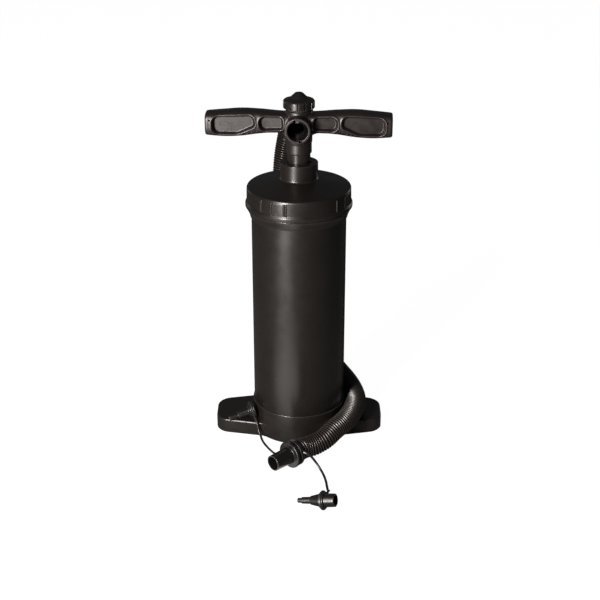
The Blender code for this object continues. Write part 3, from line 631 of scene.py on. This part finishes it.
def make_hose():
    """The corrugated hose as two tubes that meet in a valley behind the barrel."""
    rows = 6
    line, at = spaced(catmull(HOSE_ROUTE, 24), HOSE_PITCH / rows)
    pitch = at[-1] / round(at[-1] / HOSE_PITCH)
    wave = np.abs(np.sin(math.pi * at / pitch)) ** 0.8
    radii = HOSE_VALLEY_R + (HOSE_R - HOSE_VALLEY_R) * wave
    high = int(np.argmax(line[:, 2] < HOSE_SPLIT_Z))
    cut = int(round(at[high] / pitch) * pitch / at[-1] * (len(line) - 1) + 0.5)
    pieces = []
    for name, part in (("hose_upper", slice(0, cut + 1)), ("hose_lower", slice(cut, None))):
        piece = tube(name, line[part], radii[part], 36)
        dress(piece, "hose", 80.0)
        pieces.append((piece, line[part], float(at[part][-1] - at[part][0])))
    (upper, upper_line, upper_length), (lower, lower_line, lower_length) = pieces
    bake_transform(upper)
    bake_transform(lower)
    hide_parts("hose")
    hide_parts("hose")


def make_strap(name, route, node):
    """A thin moulded strap, a little thicker where it runs into the loop and the eyelet."""
    line, at = spaced(catmull(route, 12), 1.2)
    ends = np.minimum(at, at[-1] - at)
    radii = STRAP_R * (0.92 + 0.30 * np.exp(-((ends / 3.0) ** 2)))
    piece = tube(name, line, radii, 16, flatten=0.8)
    finished(piece, "strap", "strap_plastic", "pump_body", node)


# ---------------------------------------------------------------- base, barrel and cap


def foot_reach(angles):
    """Distance from the axis to the foot's outline at each angle."""
    end, half, middle, corner = FOOT_HALF_LENGTH, FOOT_END, FOOT_MIDDLE, FOOT_CORNER
    corners = [
        (end, half, corner),
        (0, middle, 60),
        (-end, half, corner),
        (-end, -half, corner),
        (0, -middle, 60),
        (end, -half, corner),
    ]
    outline = [np.array(p) for p in refined(rounded(corners, True, 16), 3.0)]
    starts = np.array(outline)
    ways = np.roll(starts, -1, axis=0) - starts
    found = []
    for angle in angles:
        ray = np.array((math.cos(angle), math.sin(angle)))
        cross = ray[0] * ways[:, 1] - ray[1] * ways[:, 0]
        cross = np.where(np.abs(cross) < 1e-9, 1e-9, cross)
        far = (starts[:, 0] * ways[:, 1] - starts[:, 1] * ways[:, 0]) / cross
        along = (starts[:, 0] * ray[1] - starts[:, 1] * ray[0]) / cross
        hits = far[(along >= -1e-6) & (along <= 1 + 1e-6) & (far > 0)]
        found.append(float(hits.max()))
    return np.array(found)


def smooth_max(a, b, blend):
    """The larger of two lengths, with a soft hollow of about the blend's size where they cross."""
    overlap = np.maximum(blend - np.abs(a - b), 0.0) / blend
    return np.maximum(a, b) + overlap**2 * blend / 4


def even_angles(count):
    """Angles whose points on the base's outline are about evenly apart."""
    fine = np.linspace(0, 2 * math.pi, 2881)
    reach = smooth_max(foot_reach(fine), CUP_R, 4.0)
    x, y = reach * np.cos(fine), reach * np.sin(fine)
    far = np.concatenate([[0.0], np.cumsum(np.hypot(np.diff(x), np.diff(y)))])
    return np.interp(np.linspace(0, far[-1], count + 1)[:-1], far, fine)


def make_base():
    """A cup for the barrel with a tapering foot at each side, softly filleted, ribbed underneath."""
    angles = even_angles(360)
    reach = smooth_max(foot_reach(angles), CUP_R, 4.0)
    spare = reach - CUP_R
    edge, fillet = 2.4, 3.2
    scale = np.clip(spare / (edge + fillet + 0.5), 0.0, 1.0)
    arc = [math.radians(90 * k / 5) for k in range(6)]
    creep = 0.03  # keeps rows apart where the foot's top has no width
    rows = [(reach - 0.8, 0.0 * reach), (reach, 0.8 + 0 * reach), (reach, 9.0 + 0 * reach)]
    for a in arc:
        rows.append((reach - edge * scale * (1 - math.cos(a)), FOOT_TOP - edge * scale * (1 - math.sin(a))))
    inner_start = CUP_R + fillet * scale
    outer_end = reach - edge * scale
    for share in (0.25, 0.5, 0.75):
        rows.append((outer_end + (inner_start - outer_end) * share, FOOT_TOP + 0 * reach))
    for a in arc:
        bend = fillet * scale
        rows.append((CUP_R + bend * (1 - math.sin(a)), FOOT_TOP + bend * (1 - math.cos(a))))
    rows = [(r, z + creep * number) for number, (r, z) in enumerate(rows)]
    rows.append((CUP_R + 0 * reach, 33.0 + 0 * reach))
    for a in arc:
        rows.append((CUP_R - (1 - math.cos(a)) + 0 * reach, CUP_TOP - 1.0 + math.sin(a) + 0 * reach))
    rows.append((CUP_BORE + 0 * reach, CUP_TOP + 0 * reach))
    rows.append((CUP_BORE + 0 * reach, CUP_FLOOR + 0 * reach))
    verts, faces = [], []
    count = len(angles)
    for r, z in rows:
        verts += [(rr * math.cos(a), rr * math.sin(a), zz) for rr, zz, a in zip(r, z, angles)]
    for i in range(len(rows) - 1):
        for k in range(count):
            m = (k + 1) % count
            faces.append((i * count + k, (i + 1) * count + k, (i + 1) * count + m, i * count + m))
    for row, height in ((0, 0.0), (len(rows) - 1, CUP_FLOOR)):
        centre = len(verts)
        verts.append((0.0, 0.0, height))
        for k in range(count):
            faces.append((centre, row * count + k, row * count + (k + 1) % count))
    base = solid("base_shell", verts, faces)
    carved(base, *underside_pockets())
    finished(base, "base", "base_plastic", "pump_body", "foot_base")


def underside_pockets():
    """Two by two pockets under each foot, with ribs between them."""
    rib, start, length, width = 2.5, 68.0, 20.0, 20.0
    pockets = []
    for side in (-1, 1):
        for column in range(2):
            near = start + column * (length + rib)
            for row in (-1, 1):
                xs = sorted((side * near, side * (near + length)))
                ys = sorted((row * rib / 2, row * (rib / 2 + width - 2.5 * column)))
                name = f"pocket_{side}_{column}_{row}"
                pockets.append(box(name, (xs[0], ys[0], -1.0), (xs[1], ys[1], FOOT_TOP - 3.0)))
    return pockets


def make_barrel():
    corners = [
        (BARREL_R, BARREL_TOP, 0.6),
        (BARREL_R, 7.3, 0.6),
        (BARREL_INNER_R, 7.3, 0.6),
        (BARREL_INNER_R, BARREL_TOP, 0.6),
    ]
    barrel = swept_round("barrel_tube", refined(rounded(corners), 60.0), 192)
    finished(barrel, "barrel", "barrel_plastic", "pump_body", "barrel")


def rib_angles():
    """Middle and half width, in degrees, of each bar on the cap's wall."""
    bars = [(-45.0, 0.85), (-30.9, 0.65), (-28.6, 0.65), (-16.4, 0.65), (-14.1, 0.65)]
    return [(-90 + a + 90 * quarter, half) for quarter in range(4) for a, half in bars]


def cap_columns():
    """Angles round the cap: even ones, and closer ones at the sides of each bar."""
    edges = []
    for middle, half in rib_angles():
        for side in (-1, 1):
            edges += [middle + side * (half + extra) for extra in (-0.30, -0.05, 0.20, 0.45)]
    spare = [a for a in range(-180, 180, 2) if all(abs((a - e + 180) % 360 - 180) > 0.7 for e in edges)]
    return [math.radians(a) for a in sorted({round((e + 180) % 360 - 180, 3) for e in edges + spare})]


def wall_relief(z, angle, low=336.5, high=352.0):
    """Height of the bars, and of the panel between the two pairs, on the cap's wall."""
    ramp = min(1.0, max(0.0, (z - low + 0.4) / 0.8), max(0.0, (high + 0.4 - z) / 0.8))
    degrees = math.degrees(angle)
    height = 0.0
    for middle, half in rib_angles():
        off = abs((degrees - middle + 180) % 360 - 180) - half
        height = max(height, 1.1 * min(1.0, max(0.0, 0.5 - off / 0.5)))
    turn = (degrees + 90 + 45) % 90 - 45
    if -28.6 < turn < -16.4:
        height = max(height, 0.35)
    return height * ramp


def make_cap():
    """The screw cap: a ribbed wall with a rolled bead, a low cone and the collar that guides the rod."""
    inner = BARREL_R + 0.5
    under_top = BARREL_TOP + 2.6
    bush_hole = 18.2
    corners = [
        (COLLAR_R, COLLAR_TOP, 1.0), (COLLAR_R + 0.1, 366.2, 3.2),
        (RIM_R, CAP_TOP + 0.6, 3.0), (RIM_R + 0.4, 336.4, 1.0),
        (BEAD_R, 333.6, 1.6), (BEAD_R, 329.4, 0.9), (68.0, 329.2, 0.3),
        (67.8, 327.7, 0.3), (69.0, 327.5, 0.5), (65.2, 319.5, 4.0),
        (64.4, 315.5, 0.6), (inner, 315.5, 0.3), (inner, under_top, 0.3),
        (60.0, under_top, 0.3), (54.0, 353.0, 0), (26.0, 358.0, 0),
        (26.0, 352.0, 0), (bush_hole, 352.0, 0.3),
        (bush_hole, COLLAR_TOP - 2.5, 0.2), (ROD_R + 0.8, COLLAR_TOP - 2.2, 0.2),
        (ROD_R + 0.8, COLLAR_TOP, 0.6),
    ]
    outline = rounded(corners, True, 5)
    heights = [352.6, 352.3, 351.9, 351.5, 337.1, 336.7, 336.3, 336.0]
    wall = []
    for a, b in zip(outline, outline[1:] + [outline[0]]):
        wall.append(a)
        if a.x > RIM_R - 0.2 and b.x > RIM_R - 0.2 and a.y > 350.0 > 340.0 > b.y:
            wall += [a.lerp(b, (a.y - h) / (a.y - b.y)) for h in heights if b.y < h < a.y]

    def shape(r, z, angle):
        return (r + wall_relief(z, angle), z) if r > RIM_R - 0.6 and 334.0 < z < 354.0 else (r, z)

    cap = swept_round("cap_shell", wall, cap_columns(), True, shape)
    finished(cap, "cap", "cap_plastic", "pump_body", "barrel_cap")


def make_rod():
    corners = [
        (ROD_R, ROD_TOP, 0.5),
        (ROD_R, ROD_LOW, 0.5),
        (ROD_BORE, ROD_LOW, 0.3),
        (ROD_BORE, ROD_TOP, 0.3),
    ]
    tube_piece = swept_round("rod_tube", refined(rounded(corners), 60.0), 96)
    finished(tube_piece, "rod", "rod_plastic", "handle", "rod_tube_outer")


# ---------------------------------------------------------------- handle


def grip_edge(x, column):
    """Height of the grips' top or underside at x, on a smooth curve through the outline."""
    xs = [row[0] for row in GRIP_OUTLINE]
    ys = [row[column] for row in GRIP_OUTLINE]
    slopes = np.gradient(ys, xs)
    slopes[0] = 0.0
    i = min(max(int(np.searchsorted(xs, x)) - 1, 0), len(xs) - 2)
    span = xs[i + 1] - xs[i]
    t = (x - xs[i]) / span
    return (
        (2 * t**3 - 3 * t**2 + 1) * ys[i]
        + (t**3 - 2 * t**2 + t) * span * slopes[i]
        + (-2 * t**3 + 3 * t**2) * ys[i + 1]
        + (t**3 - t**2) * span * slopes[i + 1]
    )


def grip_form():
    """Both grips as one soft-edged bar, lofted through rounded sections."""
    around, power = 72, 2 / 3.4
    end, round_over = GRIP_HALF_LENGTH, 3.0
    turns = np.linspace(math.pi / 2, 0, 7)
    cap = [(end - round_over * (1 - math.sin(a)), 1 - 0.11 * (1 - math.cos(a))) for a in turns]
    half = [(x, s) for x, s in cap] + [(x, 1.0) for x in np.arange(112.0, 0.0, -4.0)]
    stations = [(-x, s) for x, s in half] + [(x, s) for x, s in reversed(half)]
    verts, faces = [], []
    for x, s in stations:
        top, bottom = grip_edge(min(abs(x), end), 1), grip_edge(min(abs(x), end), 2)
        middle, tall = (top + bottom) / 2, (top - bottom) / 2 * s
        for k in range(around):
            angle = 2 * math.pi * (k + 0.5) / around
            c, n = math.cos(angle), math.sin(angle)
            y = GRIP_HALF_DEPTH * s * math.copysign(abs(c) ** power, c)
            verts.append((x, y, middle + tall * math.copysign(abs(n) ** power, n)))
    for i in range(len(stations) - 1):
        for k in range(around):
            m = (k + 1) % around
            faces.append((i * around + k, i * around + m, (i + 1) * around + m, (i + 1) * around + k))
    faces.append(tuple(range(around)))
    faces.append(tuple((len(stations) - 1) * around + k for k in range(around)))
    return solid("grip_form", verts, faces)


def gusset_form():
    """The web under the grips, with a hollow curve on each side of the neck."""
    side, under, curve, depth = 12.0, 428.3, 30.0, 8.5
    corners = [(56, 440, 0), (56, under, 0), (side, under, curve), (side, under - curve, 0)]
    mirrored = [(-x, z, radius) for x, z, radius in reversed(corners)]
    outline = rounded(corners + mirrored, True, 12)
    count = len(outline)
    verts = [(p.x, y, p.y) for y in (-depth, depth) for p in outline]
    faces = [tuple(range(count)), tuple(range(2 * count - 1, count - 1, -1))]
    faces += [(k, (k + 1) % count, count + (k + 1) % count, count + k) for k in range(count)]
    return solid("gusset_form", verts, faces)


def pocket_outlines():
    """Outlines of the four recesses in a shell's face."""
    outer = [(55.0, 438.0, 6.0), (77.0, 427.6, 16.0), (110.0, 427.4, 8.5)]
    outer += [(110.2, 450.0, 8.5), (57.0, 452.4, 9.8)]
    inner = [(19.6, 434.0, 4.0), (49.0, 432.2, 7.5), (50.6, 451.0, 8.0), (20.2, 450.4, 5.0)]
    sides = [(corners, side) for corners in (outer, inner) for side in (1, -1)]
    return [[(side * x, z, r) for x, z, r in corners][::side] for corners, side in sides]


def from_outline(points, outline):
    """Signed distance of each point from a closed outline, negative inside it."""
    best = np.full(len(points), np.inf)
    inside = np.zeros(len(points), bool)
    for a, b in zip(outline, outline[1:] + outline[:1]):
        way = np.array((b.x - a.x, b.y - a.y))
        off = points - np.array((a.x, a.y))
        t = np.clip(off @ way / max(way @ way, 1e-12), 0, 1)
        best = np.minimum(best, ((off - t[:, None] * way) ** 2).sum(1))
        if abs(b.y - a.y) > 1e-9:
            meets = a.x + (b.x - a.x) * (points[:, 1] - a.y) / (b.y - a.y)
            inside ^= ((a.y > points[:, 1]) != (b.y > points[:, 1])) & (points[:, 0] < meets)
    return np.where(inside, -1.0, 1.0) * np.sqrt(best)


def smoothstep(value, low, high):
    t = np.clip((value - low) / (high - low), 0.0, 1.0)
    return t * t * (3 - 2 * t)


def press_pockets(item):
    """Sinks the recesses into both faces, each with a thin raised lip."""
    co = points_of(item.data) / MM
    flat = co[:, [0, 2]]
    depth = np.abs(co[:, 1])
    face = smoothstep(depth, POCKET_FLOOR - 0.6, POCKET_FLOOR + 1.5)
    for corners in pocket_outlines():
        far = from_outline(flat, rounded(corners, True, 8))
        # The floors lean outwards a little, so the two sides catch the light differently.
        middle = np.mean([abs(x) for x, _, _ in corners])
        floor = POCKET_FLOOR + 0.05 * (middle - np.abs(flat[:, 0]))
        sunk = floor + (depth - floor) * smoothstep(far, -1.5, 0.2)
        depth = np.where(depth > floor, sunk, depth)
        depth = depth + 0.75 * face * np.exp(-(((far - 1.5) / 0.95) ** 2))
    co[:, 1] = np.sign(co[:, 1]) * depth
    item.data.vertices.foreach_set("co", (co * MM).astype(np.float32).ravel())
    item.data.update()


def hub_bore():
    """The stepped hollow of the hub: rod socket, valve chamber and knob socket."""
    outline = [
        (0, HUB_TOP + 5), (11.8, HUB_TOP + 5), (11.8, 452.6), (13.6, 452.6),
        (13.6, ROD_TOP + 1), (ROD_R + 0.35, ROD_TOP + 1),
        (ROD_R + 0.35, HUB_BOTTOM - 5), (0, HUB_BOTTOM - 5),
    ]
    return swept_round("hub_bore", outline, 64, False)


def handle_form():
    """Grips, web, hub and ports under one skin."""
    hub = [
        (0, HUB_TOP, 0),
        (HUB_R, HUB_TOP, 1.2),
        (HUB_R, HUB_BOTTOM + 15.2, 0.4),
        (HUB_R - 0.8, HUB_BOTTOM + 14.4, 0.4),
        (HUB_R - 0.6, HUB_BOTTOM, 1.0),
        (0, HUB_BOTTOM, 0),
    ]
    port = [(0, 27.0, 0), (PORT_R - 0.2, 27.0, 0.5), (PORT_R - 0.2, -27.0, 0.5), (0, -27.0, 0)]
    port_place = frame_along((0, 0, PORT_Z), (0, -1, 0))
    forms = [
        grip_form(),
        gusset_form(),
        swept_round("hub_form", rounded(hub, False), 96, False),
        swept_round("port_form", rounded(port, False), 96, False, None, port_place),
    ]
    form = merged("handle_form", *forms)
    fused(form, 0.8, 5)
    press_pockets(form)
    soften = form.modifiers.new("soften", "SMOOTH")
    soften.factor = 0.5
    soften.iterations = 3
    bpy.context.view_layer.update()
    return baked(form)


def port_cutters(label):
    reach = PORT_REACH + 6
    bore = rod(f"port_bore_{label}", PORT_BORE, (0, -reach, PORT_Z), (0, reach, PORT_Z), 96)
    chamber = hub_bore()
    return [bore, chamber]


def bayonet_slot(label, side, tilt):
    """A cutter for one entry slot in a port's rim."""
    cutter = box(f"slot_{label}", (-2.2, -4.0, PORT_BORE - 1.5), (2.2, 4.0, PORT_BORE + 2.1))
    place = (
        Matrix.Translation((0, side * (PORT_REACH - 2.0) * MM, PORT_Z * MM))
        @ Matrix.Rotation(math.radians(-tilt), 4, "Y")
    )
    cutter.data.transform(place)
    return cutter


def port_tube(name, side):
    """The crisp end of a port, with its bevelled rim and two bayonet slots."""
    inner = 15.0
    corners = [
        (PORT_BORE, PORT_REACH, 0.7),
        (PORT_R, PORT_REACH, 0.9),
        (PORT_R, inner, 0),
        (PORT_BORE, inner, 0),
    ]
    place = frame_along((0, 0, PORT_Z), (0, side, 0))
    piece = swept_round(name, rounded(corners), 96, True, None, place)
    carved(piece, *[bayonet_slot(f"{name}_{tilt}", side, tilt) for tilt in (15, 195)])
    piece.data.transform(HANDLE_TURN)
    finished(piece, "handle", "handle_plastic", "handle")
    return piece


def make_handle():
    """Both shells, parted at the middle plane, with their ports, marks and screw seats."""
    whole = handle_form()
    for name, side, node in (("grip_shell_front", -1, "grip_front"), ("grip_shell_rear", 1, "grip_rear")):
        shell = whole.copy()
        shell.data = whole.data.copy()
        shell.name = name
        bpy.context.scene.collection.objects.link(shell)
        ys = sorted((-side * 60, side * 0.15))
        cutters = [box("parting", (-150, ys[0], 380), (150, ys[1], 480)), *port_cutters(name)]
        for mirror in (-1, 1):
            if side > 0:
                for number, (x, z, head) in enumerate(SCREW_PLACES):
                    spot = Vector((mirror * x, 0, z))
                    seat, mouth = spot + Vector((0, head - 2.5, 0)), spot + Vector((0, 18, 0))
                    cutters.append(rod(f"sink_{mirror}_{number}", 3.5, seat, mouth, 28))
            else:
                for x, z in ((113.4, 445.0), (54.5, 431.5), (60.6, 429.6), (66.4, 428.6)):
                    spot = Vector((mirror * x, -GRIP_HALF_DEPTH - 2, z))
                    cutters.append(rod(f"mark_{mirror}_{x}", 1.35, spot, spot + Vector((0, 5.5, 0)), 20))
        carved(shell, *cutters)
        shell.data.transform(HANDLE_TURN)
        finished(shell, "handle", "handle_plastic", "handle", node)
        paint_pockets(shell)
    bpy.data.objects.remove(whole, do_unlink=True)
    port_tube("port_rim_front", -1)
    port_tube("port_rim_rear", 1)
    make_screws()


def paint_pockets(shell):
    """The pockets' floors take a coarser, browner finish."""
    shell.data.materials.append(MATERIALS["pocket"])
    back = HANDLE_TURN.inverted()
    centres = np.array([list(back @ p.center) for p in shell.data.polygons]) / MM
    chosen = np.zeros(len(centres), bool)
    for corners in pocket_outlines():
        far = from_outline(centres[:, [0, 2]], rounded(corners, True, 8))
        depth = np.abs(centres[:, 1])
        chosen |= (far < -1.0) & (depth > POCKET_FLOOR - 1.0) & (depth < POCKET_FLOOR + 1.2)
    shell.data.polygons.foreach_set("material_index", chosen.astype(np.int32))


def make_screws():
    """Cross-recess screws in the rear shell."""
    number = 0
    for x, z, head in SCREW_PLACES:
        for side in (-1, 1):
            number += 1
            under = head - 2.2
            corners = [(0, head, 0), (3.2, head, 0.8), (3.2, under, 0.2), (1.5, under, 0.2)]
            corners += [(1.5, -4, 0.3), (0, -6, 0)]
            screw = swept_round(f"screw_{number}", rounded(corners, False), 40, False)
            arms = [
                box("arm_a", (-1.9, -0.45, head - 1.3), (1.9, 0.45, head + 1)),
                box("arm_b", (-0.45, -1.9, head - 1.3), (0.45, 1.9, head + 1)),
            ]
            turn = Matrix.Rotation(0.7 * number, 4, "Z")
            for arm in arms:
                arm.data.transform(turn)
            carved(screw, *arms)
            screw.data.transform(HANDLE_TURN @ frame_along((side * x, 0, z), (0, 1, 0)))
            finished(screw, "zinc", "screw_steel", "handle", f"handle_screw_{number}")


def make_knob():
    """The fluted screw knob with its low dome."""
    top, flutes = 480.0, 14
    corners = [
        (0, top, 0), (5.0, top - 0.9, 3.5), (12.0, top - 7.6, 2.0),
        (19.0, top - 9.8, 1.2), (20.4, top - 11.4, 0.8), (20.4, 460.0, 0.8),
        (11.4, 460.0, 0.3), (11.4, 453.4, 0.4), (9.4, 453.4, 0.3),
        (9.4, 468.0, 0.5), (0, 468.0, 0),
    ]
    outline = refined(rounded(corners, False, 5), 0.9, False)

    def shape(r, z, angle):
        if r < 17.0 or z > 469.6:
            return r, z
        wave = math.cos(flutes * (angle - math.pi / flutes))
        cut = float(smoothstep(np.array(wave), 0.55, 0.80)) * float(smoothstep(np.array(469.4 - z), 0.0, 0.9))
        return r - 1.35 * cut, z

    knob = swept_round("knob", outline, flutes * 18, False, shape)
    knob.data.transform(HANDLE_TURN)
    finished(knob, "knob", "knob_plastic", "knob", "valve_knob")


def make_cuff():
    """The hose's bayonet cuff on the rear port, with shallow grip hollows."""
    start = 22.0
    corners = [
        (16.2, 57.7 - start, 1.0), (17.0, 36.0 - start, 0.6),
        (19.0, 35.6 - start, 0.8), (19.0, 31.3 - start, 0.8),
        (12.9, 31.3 - start, 0.2), (12.9, 0, 0.5), (10.2, 0, 0.5),
        (10.2, 57.7 - start, 0.6),
    ]

    def shape(r, z, angle):
        if r < 15.5 or not 15.0 < z < 34.5:
            return r, z
        fade = float(smoothstep(np.array(z), 15.0, 17.5)) * float(smoothstep(np.array(34.5 - z), 0.0, 3.0))
        return r - 0.5 * fade * max(0.0, math.cos(16 * angle)), z

    place = HANDLE_TURN @ frame_along((0, start, PORT_Z), (0, 1, 0))
    outline = refined(rounded(corners), 2.5)
    cuff = swept_round("hose_cuff_shell", outline, 128, True, shape, place)
    finished(cuff, "fitting", "fitting_plastic", "handle", "hose_cuff")


# ---------------------------------------------------------------- hose end and adaptors


def fitting(name, corners, place, node, material="fitting", slot="fitting_plastic", columns=72):
    piece = swept_round(name, refined(rounded(corners), 3.0), columns, True, None, place)
    finished(piece, material, slot, "pump_body", node)
    return piece


def loop(name, inner, outer, low, high, place, node):
    corners = [(outer, high, 0.6), (outer, low, 0.6), (inner, low, 0.3), (inner, high, 0.3)]
    return fitting(name, corners, place, node, "strap", "strap_plastic")


def make_hose_end():
    place = frame_along(FLANGE_CENTRE, NOZZLE_WAY)
    corners = [
        (10.7, 31.0, 0.7), (11.4, 2.2, 0.8), (18.4, 2.2, 1.2), (18.4, -2.2, 1.2),
        (15.7, -2.4, 0.5), (15.7, -14.1, 0.8), (9.2, -14.1, 0.3), (9.2, 31.0, 0.5),
    ]
    nozzle = fitting("nozzle", corners, place, "hose_nozzle", columns=96)
    ring = loop("strap_ring", 16.0, 17.8, LOOP_OFFSET - 2.4, LOOP_OFFSET + 2.4, place, "strap_loop")
    return nozzle, ring


def adaptor(size, back, tip, corners, eye_low):
    """A stepped adaptor and the strap's eyelet round it."""
    place = frame_along(back, tip - back)
    body = fitting(f"{size}_adaptor_body", corners, place, f"{size}_adaptor")
    eye = loop(f"{size}_adaptor_loop", 9.1, 12.5, eye_low, eye_low + 2.6, place, f"{size}_adaptor_eyelet")
    return body, eye


def make_small_adaptor():
    length = (SMALL_ADAPTOR_TIP - SMALL_ADAPTOR_BACK).length
    corners = [
        (3.1, length, 0.5), (3.2, length - 5.4, 0.3), (4.2, length - 5.6, 0.4),
        (4.5, length - 17.8, 0.4), (5.6, length - 18.2, 0.5), (8.7, 19.9, 0.4),
        (11.0, 19.8, 0.5), (11.0, 18.4, 0.4), (8.7, 18.4, 0.1), (8.7, 15.4, 0.1),
        (11.0, 15.4, 0.4), (11.0, 14.0, 0.5), (8.7, 13.9, 0.4), (8.4, 0, 1.0),
        (6.2, 0, 0.4), (6.2, 15.0, 0.3), (1.8, length - 18.0, 0.3),
        (1.7, length, 0.3),
    ]
    return adaptor("small", SMALL_ADAPTOR_BACK, SMALL_ADAPTOR_TIP, corners, 15.6)


def make_large_adaptor():
    length = (LARGE_ADAPTOR_TIP - LARGE_ADAPTOR_BACK).length
    corners = [
        (3.9, length, 0.5), (4.1, length - 12.4, 0.4), (5.2, length - 13.0, 0.5),
        (6.6, 8.6, 0.8), (8.7, 7.6, 0.4), (8.7, 6.0, 0.2), (11.0, 5.9, 0.4),
        (11.0, 4.6, 0.4), (8.7, 4.6, 0.1), (8.7, 1.6, 0.1), (11.8, 1.6, 0.5),
        (11.8, 0, 0.5), (6.4, 0, 0.3), (6.4, 7.0, 0.3), (2.2, length - 13.0, 0.3),
        (2.1, length, 0.3),
    ]
    return adaptor("large", LARGE_ADAPTOR_BACK, LARGE_ADAPTOR_TIP, corners, 1.8)


# ---------------------------------------------------------------- pieces kept from the CAD model


def paint_kept_nodes():
    """Materials for the inner pieces, whose CAD shapes stay."""
    finishes = {
        "rubber": [
            "base_gasket", "cap_gasket", "rod_seal", "knob_seal",
            "piston_seal_lower", "piston_seal_upper", "flap_lower", "flap_upper",
        ],
        "acetal": ["rod_bush", "piston_plate", "piston_body", "piston_ring"],
        "fitting": ["valve_cartridge"],
        "rod": ["rod_tube_inner"],
        "zinc": ["piston_nut"],
    }
    for material, nodes in finishes.items():
        for node in nodes:
            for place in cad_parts[node].material_slots:
                place.material = MATERIALS[material]


make_camera()
make_stage()
MATERIALS = make_materials()
nozzle, ring = make_hose_end()
small_body, small_eye = make_small_adaptor()
large_body, large_eye = make_large_adaptor()
make_hose()
make_strap("strap_to_large", LEFT_STRAP_ROUTE, "strap_left")
make_strap("strap_to_small", RIGHT_STRAP_ROUTE, "strap_right")
make_base()
make_barrel()
make_cap()
make_rod()
make_handle()
make_knob()
make_cuff()
paint_kept_nodes()
